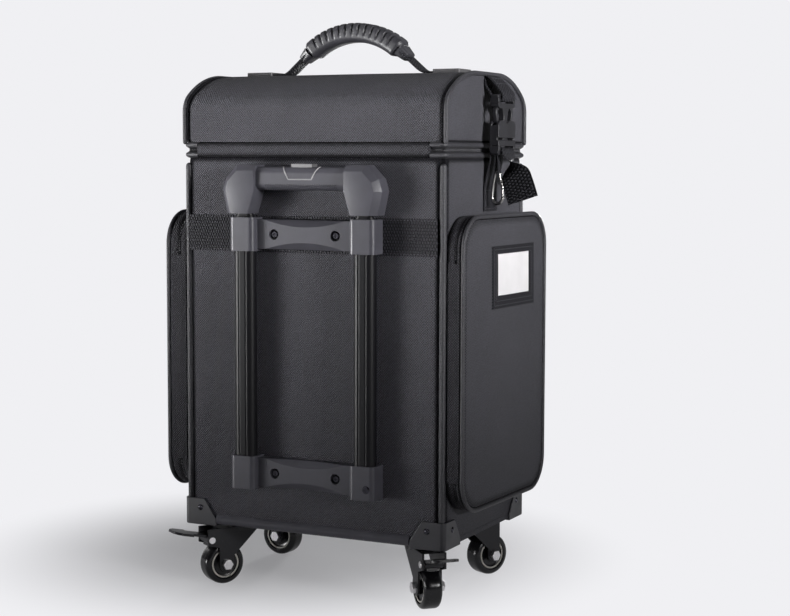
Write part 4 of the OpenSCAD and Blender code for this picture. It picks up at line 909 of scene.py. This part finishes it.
def pocket(name, side):
    """A zipped pocket: the tray on the case, and the cover with its piped face."""
    body = name + "_pocket"
    loop = rounded_loop((POCKET_BACK, POCKET_LOW), (POCKET_FRONT, POCKET_HIGH), POCKET_R, 8, 12)

    def ring(inset, x_at):
        return [(side * x_at(a, b), a - na * inset, b - nb * inset) for a, b, na, nb in loop]

    tray = [(2.5, 170.2), (0.6, 170.2), (-0.3, 172.5), (-0.6, 175), (-0.3, 177.5), (0.5, 179.4), (1.3, 180.3),
            (2.5, 180.3)]
    rows = [ring(inset, lambda a, b, x=x: x) for inset, x in tray]
    # Painted shade in the tray's groove round the zip: full at its edges, lighter in the middle
    painted_crease_shades = [1, 1, 0.6, 0.45, 0.45, 0.6, 1, 1, 1]
    piece("pocket_tray_" + name, skin(rows + rows[:1]), CLOTH, "case", ["pocket_trays"], 60,
          painted_shade=[painted_crease_shade for painted_crease_shade in painted_crease_shades for _ in loop])

    def edge(drop):
        return lambda a, b: face_x(name, a, b, 0) - drop

    def part(share):
        """A place between the zip and the seam under the face."""
        return lambda a, b: COVER_X + (face_x(name, a, b, 0) - 3.6 - COVER_X) * share

    def shrunk(share, drop, wavy=0.0):
        row = []
        for a, b, _, _ in loop:
            y, z = a + (POCKET_Y - a) * share, b + (POCKET_Z - b) * share
            out = face_x(name, y, z, 1 if drop <= 0 else 0) - drop + wavy * wave(y * 0.016, z * 0.016, side)
            row.append((side * out, y, z))
        return row

    rows = [shrunk(0.95, 3.0), shrunk(0.5, 3.0), ring(2.5, edge(3.0)), ring(2.5, part(0.0)),
            ring(1.3, part(0.0)), ring(0.5, part(0.14)), ring(-0.4, part(0.35)), ring(-0.8, part(0.6)),
            ring(-0.4, part(0.85)), ring(0.7, edge(3.2)), ring(1.8, edge(1.8)), ring(3.6, edge(0.9)),
            ring(5.0, edge(0.1)), shrunk(0.07, 0.0, 0.1), shrunk(0.12, 0.0, 0.25)]
    rows += [shrunk(share, 0.0, 0.4) for share in (0.2, 0.3, 0.42, 0.56, 0.72, 0.86, 0.96)]
    # Painted shade: full beside the zip and round the piping, about half on the gusset between, none on the
    # face
    painted_crease_shades = [0, 0, 0, 1, 1, 0.6, 0.45, 0.45, 0.6, 1, 1, 1, 0.5] + [0] * 9
    piece("pocket_cover_" + name, skin(rows, caps=True), CLOTH, body, [name + "_pocket_cover"], 60,
          painted_shade=[painted_crease_shade for painted_crease_shade in painted_crease_shades for _ in loop])
    piece("pocket_piping_" + name, tube(ring(0.3, edge(0.7)), 2.5, 12, True), BINDING, body)
    seams = []
    for inset, drop in ((-0.55, 6.0), (4.6, 0.0)):
        ups = [(0, na, nb) if drop else (side, 0, 0) for _, _, na, nb in loop]
        seams.append((ring(inset, edge(drop)), ups, True))
    stitches("pocket_seams_" + name, seams, body)

    open_part = [i for i, p in enumerate(loop)
                 if not (p[0] < POCKET_BACK + 1 and FLAP_LOW < p[1] < FLAP_HIGH)]
    gap = max(range(len(open_part)), key=lambda k: (open_part[k] - open_part[k - 1]) % len(loop))
    zip_line = [loop[i] for i in open_part[gap:] + open_part[:gap]]
    ups = [(0, na, nb) for _, _, na, nb in zip_line]
    for half, x, who in (("tray", 180.55, "case"), ("cover", 181.45, body)):
        line = [(side * x, a - na * 0.9, b - nb * 0.9) for a, b, na, nb in zip_line]
        beads("pocket_teeth_%s_%s" % (half, name), [(line, ups, False)], 2.0, (1.2, 1.7, 1.5), DULL_PLASTIC,
              who)

    far = face_x(name, POCKET_BACK, POCKET_Z, 0) - 4.5
    xs = [172 + (far - 172) * k / 8 for k in range(9)]
    flap = []
    for z in range(FLAP_LOW + 1, FLAP_HIGH, 6):
        outer = [(side * x, POCKET_BACK - 1.4 - 0.3 * wave(x * 0.1, z * 0.03, 9.0), z) for x in xs]
        flap.append(outer + [(side * x, POCKET_BACK - 0.5, z) for x in reversed(xs)])
    across = ("case", body, (side * 0.176, -0.11, 0.274), (side * 0.186, -0.11, 0.274))
    # The whole flap is darker and less shiny, evenly, through the same shade values at 0.45
    piece("pocket_hinge_" + name, skin(flap, caps=True), CLOTH, across, (), 60,
          painted_shade=[0.45] * (len(flap) * len(flap[0])))


for side_name, side_sign in SIDES.items():
    pocket(side_name, side_sign)


def card_holder():
    """The sewn frame on the right pocket, with its blank card."""
    y0, y1, z0, z1 = -41, 75, 341, 413
    cy0, cy1, cz0, cz1 = -26, 60, 356, 404

    def at(y, z, lift):
        return face_x("right", y, z) + lift, y, z

    ys = [y0, y0 + 1.2, *range(y0 + 7, cy0, 5), cy0 - 1, cy0, *range(cy0 + 8, cy1, 8), cy1, cy1 + 1,
          *range(cy1 + 6, y1 - 2, 5), y1 - 1.2, y1]
    zs = [z0, z0 + 1.2, *range(z0 + 6, cz0 - 2, 4), cz0 - 1, cz0, *range(cz0 + 8, cz1, 8), cz1, cz1 + 1,
          *range(cz1 + 4, z1 - 2, 4), z1 - 1.2, z1]

    def lift(y, z):
        edge = min(y - y0, y1 - y, z - z0, z1 - z)
        hole = max(cy0 - y, y - cy1, cz0 - z, z - cz1)
        return 0.5 + 1.0 * min(1, edge / 1.2) * min(1, 0.35 + 0.65 * hole)

    points, faces, index, uv = [], [], {}, []
    for layer in (0, 1):
        for i, y in enumerate(ys):
            for j, z in enumerate(zs):
                index[layer, i, j] = len(points)
                points.append(at(y, z, lift(y, z) if layer else 0.05))
                uv.append((y, z))
    solid = {(i, j) for i in range(len(ys) - 1) for j in range(len(zs) - 1)
             if not (cy0 <= ys[i] < cy1 and cz0 <= zs[j] < cz1)}
    for i, j in solid:
        corner = [(i, j), (i + 1, j), (i + 1, j + 1), (i, j + 1)]
        faces.append(tuple(index[1, a, b] for a, b in corner))
        faces.append(tuple(index[0, a, b] for a, b in reversed(corner)))
        for k, (di, dj) in enumerate(((0, -1), (1, 0), (0, 1), (-1, 0))):
            if (i + di, j + dj) not in solid:
                a, b = corner[k], corner[(k + 1) % 4]
                faces.append((index[0, *a], index[0, *b], index[1, *b], index[1, *a]))
    used = sorted({v for f in faces for v in f})
    new = {v: k for k, v in enumerate(used)}
    shape = [points[v] for v in used], [tuple(new[v] for v in f) for f in faces]
    piece("card_frame_webbing", shape, STRAP, "right_pocket", ["card_window"], 50,
          [uv[v] for v in used])
    rows = []
    for y in [cy0 - 2.5, *range(cy0 + 4, cy1 - 1, 8), cy1 + 2.5]:
        front = [at(y, z, 0.55) for z in (cz0 - 2.5, cz0 + 12, cz0 + 24, cz0 + 36, cz1 + 2.5)]
        rows.append(front + [at(y, z, 0.1) for z in (cz1 + 2.5, cz0 + 36, cz0 + 24, cz0 + 12, cz0 - 2.5)])
    piece("blank_card", skin(rows, caps=True), CARD, "right_pocket", ["name_card"])
    lines = []
    for inset in (4, 9):
        loop = rounded_loop((y0 + inset, z0 + inset), (y1 - inset, z1 - inset), 2, 6, 3)
        lines.append(([at(a, b, 1.6) for a, b, _, _ in loop], (1, 0, 0), True))
    stitches("card_frame_stitches", lines, "right_pocket", 3.4)


card_holder()


# The side straps, buckles and snap hook

def strap_stitch_box(side, low, high):
    """A box of stitches through a strap's sewn end, between two places out from the case and up it."""
    (x0, z0), (x1, z1) = low, high
    corners = [(x0, STRAP_Y - 15, z0), (x0, STRAP_Y + 15, z0), (x1, STRAP_Y + 15, z1), (x1, STRAP_Y - 15, z1)]
    return [(side * x, y, z) for x, y, z in corners], (side * (z1 - z0), 0, x0 - x1), True


def side_straps(name, side):
    """The strap sewn to the lid, the one sewn to the case, and the free tail that twists as it hangs."""
    def run(knots, gap=3.0):
        return mirrored_path(side, [(x, STRAP_Y, z) for x, z in knots], gap)

    lid_run = run([(171.2, 604), (171.6, 598), (174.4, 592), (178, 587), (178.8, 582), (181, 578.6),
                   (186, 578.4), (191, 578.6), (193.4, 581.5), (193, 586), (190, 590.6), (185, 596.4),
                   (179.6, 602), (175.4, 606), (172.9, 607.2)])
    webbing("lid_strap_" + name, lid_run, (0, 1, 0), STRAP_W, 1.8, "lid", ["lid_straps"])
    body_run = run([(171.1, 451.8), (171.1, 466), (171.3, 480), (174, 492), (178.2, 510), (178.8, 519),
                    (181, 524.3), (186, 524.5)])
    webbing("body_strap_" + name, body_run, (0, 1, 0), STRAP_W, 1.8, "case", ["body_straps"])
    path = run([(186, 524.5), (191, 524.3), (193.6, 520.5), (195, 513), (198, 503), (202.5, 492),
                (207.5, 479), (212.3, 464.5)], 2.5)
    flat, turned = Vector((0, -1, 0)), Vector((side * 0.9, 0, 0.44))
    sides, widths = [], []
    for p in path:
        share = min(1.0, max(0.0, (519 - p.z) / 30))
        share = share * share * (3 - 2 * share)
        sides.append(flat.lerp(turned, share))
        widths.append(STRAP_W - 7 * math.sin(math.pi * share) ** 2)
    webbing("strap_tail_" + name, path, sides, widths, 1.8, "case", (), TAIL_STRAP)
    end, back = path[-1], (path[-2] - path[-1]).normalized()
    across = turned.normalized()
    hem = []
    for step in (2.5, 9.0):
        middle = end + back * step
        for s in (-1, 1):
            line = [middle + across * k + Vector((0, s * 1.0, 0)) for k in (-16, -8, 0, 8, 16)]
            hem.append((line, (0, s, 0), False))
    stitches("strap_hem_" + name, hem, "case", 3.6)
    for strap, body, low, high in (("body", "case", (172.2, 455), (172.2, 476)),
                                   ("lid", "lid", (184.4, 598.7), (178.3, 604.9))):
        box = strap_stitch_box(side, low, high)
        stitches("%s_strap_stitches_%s" % (strap, name), [box], body, 3.6)


def buckle(name, side):
    """A side release buckle: the socket on the case and the plug on the lid."""
    def place(y, z, x):
        return side * x, STRAP_Y + y, z

    def mirrored(half):
        return half + [(-y, z) for y, z in reversed(half)]

    def both_sides(outline, low, high):
        return [slab([(s * y, z) for y, z in outline], low, high, place) for s in (-1, 1)]

    mouth = mirrored([(0, 553), (9, 556.5), (21, 556), (25, 552), (25, 536.4)])
    lip = mirrored([(25, 533.6), (25, 527)])
    behind = mirrored([(0, 553), (9, 556.5), (21, 556), (25, 552), (25, 527)])
    plates = [slab(mouth, 188.6, 192, place), slab(lip, 188.6, 192, place), slab(behind, 180, 183.2, place)]
    core = [slab([(-5, 552), (5, 552), (6, 527), (-6, 527)], 183, 189, place)]
    walls = both_sides([(22.4, 528), (25, 528), (25, 551), (22.4, 551)], 182, 190)
    sides = both_sides([(19.6, 527.4), (24.6, 527.4), (25, 521), (19.6, 521)], 180, 192)
    foot = [slab(mirrored([(25, 522), (25, 519), (23, 517)]), 181, 191, place)]
    socket = piece("buckle_socket_" + name, joined(*plates, *core, *walls, *sides, *foot), BUCKLE_PLASTIC)
    fit(round_edges(socket, 0.8, 2), "case", ["buckle_sockets"])

    shoulder = [slab(mirrored([(20, 570), (24.4, 572), (24.4, 576)]), 180.6, 191.4, place)]
    bars = both_sides([(19.6, 575.5), (24.6, 575.5), (25, 582), (19.6, 582)], 180.4, 191.6)
    head = [slab(mirrored([(25, 581), (25, 584.5), (23.5, 586)]), 181, 191, place)]
    guide = [slab(mirrored([(11, 572), (7, 566), (5, 560), (5.6, 555), (7, 553.2)]), 183, 190, place)]
    bow = [(17, 572), (21.5, 572), (24.6, 568), (25, 563.5), (23.2, 558.5), (20.6, 553), (19.2, 546),
           (17.6, 541.5), (15.4, 541.3), (15.6, 547), (17.2, 554), (20, 560), (20.8, 564), (19.8, 567),
           (16, 569)]
    arms = both_sides(bow, 183.4, 188.6)
    plug = piece("buckle_plug_" + name, joined(*shoulder, *bars, *head, *guide, *arms), BUCKLE_PLASTIC)
    fit(round_edges(plug, 0.8, 2), "lid", ["buckle_plugs"])


for side_name, side_sign in SIDES.items():
    side_straps(side_name, side_sign)
    buckle(side_name, side_sign)


def snap_hook():
    """A nickel snap hook on a short sewn loop under the right buckle."""
    x, y = 186, -6
    loop = smooth_path([(185, y, 520), (184.2, y, 508), (183.4, y, 499), (184.2, y, 496), (186, y, 495),
                        (187.8, y, 496), (188.6, y, 499), (187.8, y, 508), (187, y, 520)], 1.5)
    webbing("hook_loop_webbing", loop, (0, 1, 0), 9, 1.0, "case", ["hook_loop"])
    drop = smooth_path([(x + 6.3, y, 479.4), (x + 4.6, y, 484), (x + 2.9, y, 491), (x + 2.2, y, 495.4),
                        (x, y, 497.9), (x - 2.4, y, 495.4), (x - 4.4, y, 486), (x - 6.1, y, 475),
                        (x - 6.5, y, 467.5)], 1.0)
    turns = [math.pi * k / 24 for k in range(1, 25)]
    bend = [(x - 6.5 * math.cos(t), y, 467.5 - 6.5 * math.sin(t)) for t in turns]
    profile = [(1.0, 3.2), (3.0, 2.6), (3.4, 1.6), (2.7, 0.6), (3.4, -0.4), (3.4, -1.8), (1.0, -2.4)]
    lean = Matrix.Translation((x + 4.2, y, 485.2)) @ Matrix.Rotation(math.radians(-14), 4, "Y")
    shape = joined(tube(drop + bend, 1.9, 14), moved(lathe(profile, 24, False), lean))
    piece("snap_hook_nickel", shape, NICKEL, "hook", ["snap_hook"], 50)
    softened("hook_gate", NICKEL, 0.2)


snap_hook()


# The trolley

for tubes in ("outer_tubes", "middle_tubes", "inner_tubes"):
    softened(tubes, TUBE, 0.25, 2, 50)
softened("upper_bracket", PLASTIC, 1.6, 4, 40)
softened("lower_bracket", PLASTIC, 1.6, 4, 40)
softened("case_screws", DARK_SCREW, 0.35)
softened("grip_shoulders", PLASTIC, 4.5, 4, 18, False)
softened("grip_bar", PLASTIC, 0.4, 2, 40)
softened("trolley_button", SILVER, 0.9, 3)


def grip_trim():
    """The silver line round the button's place, and the ribs under the grip."""
    radius, middle, high, low = 8, -131, 495, 484

    def over(x, s):
        """A place on the grip, s along its section from the top's edge down its front."""
        turn = radius * math.pi / 2
        if s < turn:
            t = s / radius
            return Vector((x, middle - radius * math.sin(t), high + radius * math.cos(t)))
        return Vector((x, middle - radius, high - (s - turn)))

    line = []
    for a, b in (((-24, 3), (-15, 19)), ((-15, 19), (15, 19)), ((15, 19), (24, 3))):
        line += [over(a[0] + (b[0] - a[0]) * k / 10, a[1] + (b[1] - a[1]) * k / 10) for k in range(10)]
    line.append(over(24, 3))
    piece("grip_silver_line", tube(line, 0.8, 8), LINE_PAINT, "trolley_handle")
    ribs = []
    for t in (15, 38, 61):
        a = math.radians(t)
        out, down = radius * math.cos(a), radius * math.sin(a)
        ribs.append(([(x, middle - out, low - down) for x in (-46, 0, 46)], (0, -out, -down), False))
    beads("grip_ribs", ribs, 2.3, (1.3, 3.4, 1.0), PLASTIC, "trolley_handle")


grip_trim()


def button_spring():
    """The wire spring under the button; the real one shortens as the button is pressed, this one keeps one
    length.
    """
    turns, low, high = 4, 481.2, 486.4
    coil = [(2.4 * math.cos(2 * math.pi * k / 20), TUBE_Y + 2.4 * math.sin(2 * math.pi * k / 20),
             low + (high - low) * k / (20 * turns)) for k in range(20 * turns + 1)]
    made = piece("button_spring_wire", tube(coil, 0.45, 8), NICKEL, "trolley_handle",
                 ["button_spring"])
    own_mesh(made)


button_spring()


# The carry handle

def carry_grip():
    """The arched moulded grip, with finger slots across its upper half."""
    slots = [math.radians(CARRY_HALF) * (2 * i / 14 - 1) * 0.92 for i in range(1, 14)]
    rows = []
    count = 240
    for k in range(count + 1):
        t = math.radians(CARRY_HALF) * (2 * k / count - 1)
        end = max(0.0, 1 - (math.radians(CARRY_HALF) - abs(t)) * CARRY_R / 5)
        small = 1 - 0.22 * end ** 2
        near = min(abs(t - s) for s in slots) * CARRY_R
        slot = 2.4 / (1 + math.exp((near - 1.35) / 0.16))
        row = []
        for a, b, na, nb in rounded_loop((-14, -11.5), (14, 11.5), 8, 4, 6):
            upper = 1 / (1 + math.exp(-(b - 0.5) / 1.2))
            depth = slot * upper
            a, b = (a - na * depth) * small, (b - nb * depth) * small
            r = CARRY_R + b
            row.append((r * math.sin(t), a, CARRY_Z + r * math.cos(t)))
        rows.append(row)
    piece("carry_grip_moulding", skin(rows, caps=True), DULL_PLASTIC, "carry_handle",
          ["carry_grip"])


carry_grip()


def carry_legs():
    """The handle's strap from the grip's ends to the plates on the lid."""
    across = Vector((0, 1, 0))
    bent = "lid", "carry_handle", (0, 0, 0.614), (0, 0, 0.637)
    for name, side in SIDES.items():
        path = mirrored_path(side, [(58.5, 0, 640.5), (62, 0, 637.4), (70, 0, 630.6), (80, 0, 622),
                                    (87.5, 0, 615.8), (94, 0, 613), (102, 0, 612.5), (112, 0, 612.5),
                                    (139, 0, 612.5)], 2.5)
        webbing("carry_strap_" + name, path, across, 26, 2.8, bent, ["carry_strap"])
        sleeve = mirrored_path(side, [(60.2, 0, 639.0), (64, 0, 635.7), (70, 0, 630.6)], 1.5)
        rows = []
        for i, (p, way) in enumerate(zip(sleeve, directions(sleeve))):
            out = way.cross(across)
            swell = 1.0 - 0.28 * i / (len(sleeve) - 1)
            rows.append([p + across * a * swell + out * b * swell
                         for a, b, _, _ in rounded_loop((-14, -7), (14, 7), 4, 4, 4)])
        piece("carry_sleeve_" + name, skin(rows, caps=True), DULL_PLASTIC, "carry_handle")


carry_legs()
softened("carry_plates", BRUSHED, 0.9, 3)


# The casters

def wheel(name, x, y, heading):
    """A turned wheel: glossy tread, cream ring and sunk hub."""
    half = [(4.05, 11.6), (7.4, 11.6), (8.0, 11.0), (8.2, 8.3), (9.0, 8.0), (14.6, 8.0), (15.4, 8.4),
            (15.5, 9.8), (15.8, 10.1), (17.2, 10.1), (17.5, 9.8), (17.6, 9.3), (18.0, 10.3), (19.0, 11.0),
            (20.5, 11.0), (22.4, 10.5), (23.9, 9.4), (24.7, 7.9), (25.0, 6.2), (25.0, 3.0)]
    profile = half + [(r, -w) for r, w in reversed(half)]
    turns = 72
    points, faces = lathe(profile, turns)
    cream = {7, 8, 9}
    mirrored = {len(profile) - 2 - i for i in cream}
    of_face = [1 if (k // turns) in cream | mirrored else 0 for k in range(len(faces))]
    turn = Matrix.Translation((x, y, 0)) @ Matrix.Rotation(math.radians(heading), 4, "Z")
    turn = turn @ Matrix.Translation((TRAIL, 0, WHEEL_R)) @ Matrix.Rotation(math.pi / 2, 4, "X")
    piece("wheel_%s_tyre" % name, moved((points, faces), turn), [RUBBER, CREAM], "roller_" + name,
          ["wheel_" + name], 35, of_face=of_face)


for caster_name, spot in CASTERS.items():
    wheel(caster_name, *spot)
    softened("fork_" + caster_name, BLACK_STEEL, 0.9, 3)
    softened("axle_" + caster_name, ZINC, 0.7, 3)
softened("caster_plates", BLACK_STEEL, 0.7)
softened("pedal_left", BLACK_STEEL, 0.9, 3)
softened("pedal_right", BLACK_STEEL, 0.9, 3)


# The zip sliders

def zip_slider(node, body, place):
    """A slider with its bridge and a pull that hangs from it; place turns (across, out, up) into x, y, z."""
    def flat(a, b, c):
        return place(a, c, b)

    def edge_on(a, b, c):
        return place(c, a, b)

    shield = [(-7, -2.0), (-5.5, -3.1), (2, -3.1), (7, -2.2), (7, 2.2), (2, 3.1), (-5.5, 3.1), (-7, 2.0)]
    bridge = [(2.4, -5.2), (3.4, -5.2), (4.4, -3.4), (4.4, 3.0), (3.4, 4.2), (2.4, 4.2)]
    pull = [(-3.5, -23.5), (-2.6, -25.6), (2.6, -25.6), (3.5, -23.5), (2.6, -8), (1.9, -1.8), (-1.9, -1.8),
            (-2.6, -8)]
    made = piece(node + "_nickel", joined(slab(shield, 0.2, 2.8, flat), slab(bridge, -1.2, 1.2, edge_on),
                                          slab(pull, 3.1, 4.3, flat)), NICKEL)
    fit(round_edges(made, 0.4, 2), body, [node])


for side_name, side_sign in SIDES.items():
    zip_slider("lid_slider_" + side_name, "lid_zip_" + side_name,
               lambda a, out, up, s=side_sign: (s * 12 + a, 112.5 + out, ZIP_Z + up))
    zip_slider("pocket_slider_" + side_name, "pocket_zip_" + side_name,
               lambda a, out, up, s=side_sign: (s * SPLIT_X + a * 0.64, 112.3 + out, 365 + up))


# Floor, lights and camera

PALE = (0.871, 0.871, 0.896)


def floor_and_sky():
    """A pale floor that runs into a pale sky; the camera sees both bright, except a soft dark patch of partly
    painted shadow on the floor round the case, and reflections see them dimmer.
    """
    world = bpy.data.worlds.new("pale sky")
    scene.world = world
    world.use_nodes = True
    w = Wiring(world.node_tree)
    rays = w.add("ShaderNodeLightPath")
    seen = w.math("MAXIMUM", rays.outputs["Is Camera Ray"], rays.outputs["Is Transmission Ray"])
    way = w.add("ShaderNodeTexCoord").outputs["Generated"]
    _, ahead, _ = w.add("ShaderNodeSeparateXYZ", {0: way}).outputs
    mirrored = w.spread(ahead, -0.2, 0.7, 0.04, 0.3)
    overhead = w.add("ShaderNodeVectorMath", {0: way, 1: (-0.42, -0.3, 0.86)}, operation="DOT_PRODUCT")
    mirrored = w.math("MAXIMUM", mirrored, w.spread(overhead.outputs["Value"], 0.8, 0.97))
    mirrored = w.times(rays.outputs["Is Glossy Ray"], mirrored)
    level = w.math("MAXIMUM", w.math("MAXIMUM", seen, 0.03), mirrored)
    ground = world.node_tree.nodes["Background"]
    ground.inputs["Color"].default_value = (*PALE, 1)
    w.link(level, ground.inputs["Strength"])

    bm = bmesh.new()
    bmesh.ops.create_circle(bm, cap_ends=True, segments=96, radius=8.0)
    mesh = bpy.data.meshes.new("floor")
    bm.to_mesh(mesh)
    bm.free()
    floor = shown("floor", mesh)
    paint = bpy.data.materials.new("pale floor")
    paint.use_nodes = True
    w = Wiring(paint.node_tree)
    lit = paint.node_tree.nodes["Principled BSDF"]
    lit.inputs["Base Color"].default_value = (0.88, 0.88, 0.90, 1)
    lit.inputs["Roughness"].default_value = 0.9
    lit.inputs["Specular IOR Level"].default_value = 0.0
    plain = w.add("ShaderNodeEmission", {"Color": (*PALE, 1), "Strength": 1.0})
    rays = w.add("ShaderNodeLightPath")
    mirrored = w.times(rays.outputs["Is Glossy Ray"], 0.5)
    seen = w.math("MAXIMUM", rays.outputs["Is Camera Ray"], mirrored)
    # Painted shadow, in part: round a spot at about (-0.15, 0.1) m the camera sees mostly the lamp-lit floor
    # with its real shadows, and further out an even glow; the lit floor is darker than the glow, so a soft
    # dark patch lies round that spot
    shift = w.vector("ADD", w.add("ShaderNodeTexCoord").outputs["Object"], (0.15, -0.1, 0))
    away = w.add("ShaderNodeVectorMath", {0: shift}, operation="LENGTH")
    far = w.spread(away.outputs["Value"], 0.1, 0.46, 0.28, interpolation_type="SMOOTHSTEP")
    share = w.times(far, seen)
    both = w.add("ShaderNodeMixShader", {0: share, 1: lit.outputs[0], 2: plain.outputs[0]})
    w.link(both.outputs[0], paint.node_tree.nodes["Material Output"].inputs["Surface"])
    mesh.materials.append(paint)


floor_and_sky()


def lamp(name, at, towards, size, watts, spread=180):
    """A rectangular light at a place, aimed at another; both are in metres."""
    data = bpy.data.lights.new(name, "AREA")
    data.shape = "RECTANGLE"
    data.size, data.size_y = size
    data.energy = watts
    data.spread = math.radians(spread)
    made = shown(name, data)
    made.location = at
    made.rotation_euler = (Vector(towards) - Vector(at)).to_track_quat("-Z", "Y").to_euler()


lamp("key softbox", (-1.75, -1.25, 0.2), (0, -0.1, 0.6), (0.8, 0.7), 7.0, 36)
lamp("front softbox", (-0.95, -1.9, 0.6), (0, -0.115, 0.53), (0.5, 0.5), 0.05, 25)
lamp("right softbox", (1.9, -0.6, 0.8), (0.17, 0, 0.6), (0.6, 0.6), 2.8, 28)
lamp("back softbox", (0.5, 1.5, 2.2), (0, -0.2, 0), (1.2, 1.2), 0.3)
lamp("left strip", (-2.0, 0.6, 0.7), (0, 0, 0.4), (0.4, 1.2), 2)
lamp("far side softbox", (-0.4, 2.2, 0.4), (-0.02, 0.115, 0.42), (0.5, 0.5), 3.2, 26)


def camera():
    """The photograph's viewpoint."""
    data = bpy.data.cameras.new("camera")
    data.lens, data.sensor_width, data.sensor_fit = 78.33, 36, "HORIZONTAL"
    made = shown("camera", data)
    turn, lift, tilt = math.radians(26.31), math.radians(5.06), math.radians(0.15)
    back = Vector((math.sin(turn) * math.cos(lift), -math.cos(turn) * math.cos(lift), math.sin(lift)))
    right = (-back).cross(Vector((0, 0, 1))).normalized()
    up = right.cross(-back)
    right, up = right * math.cos(tilt) + up * math.sin(tilt), up * math.cos(tilt) - right * math.sin(tilt)
    view = Matrix((right, up, back)).transposed().to_4x4()
    made.matrix_world = Matrix.Translation((0.96006, -1.83675, 0.5155)) @ view
    scene.camera = made


camera()
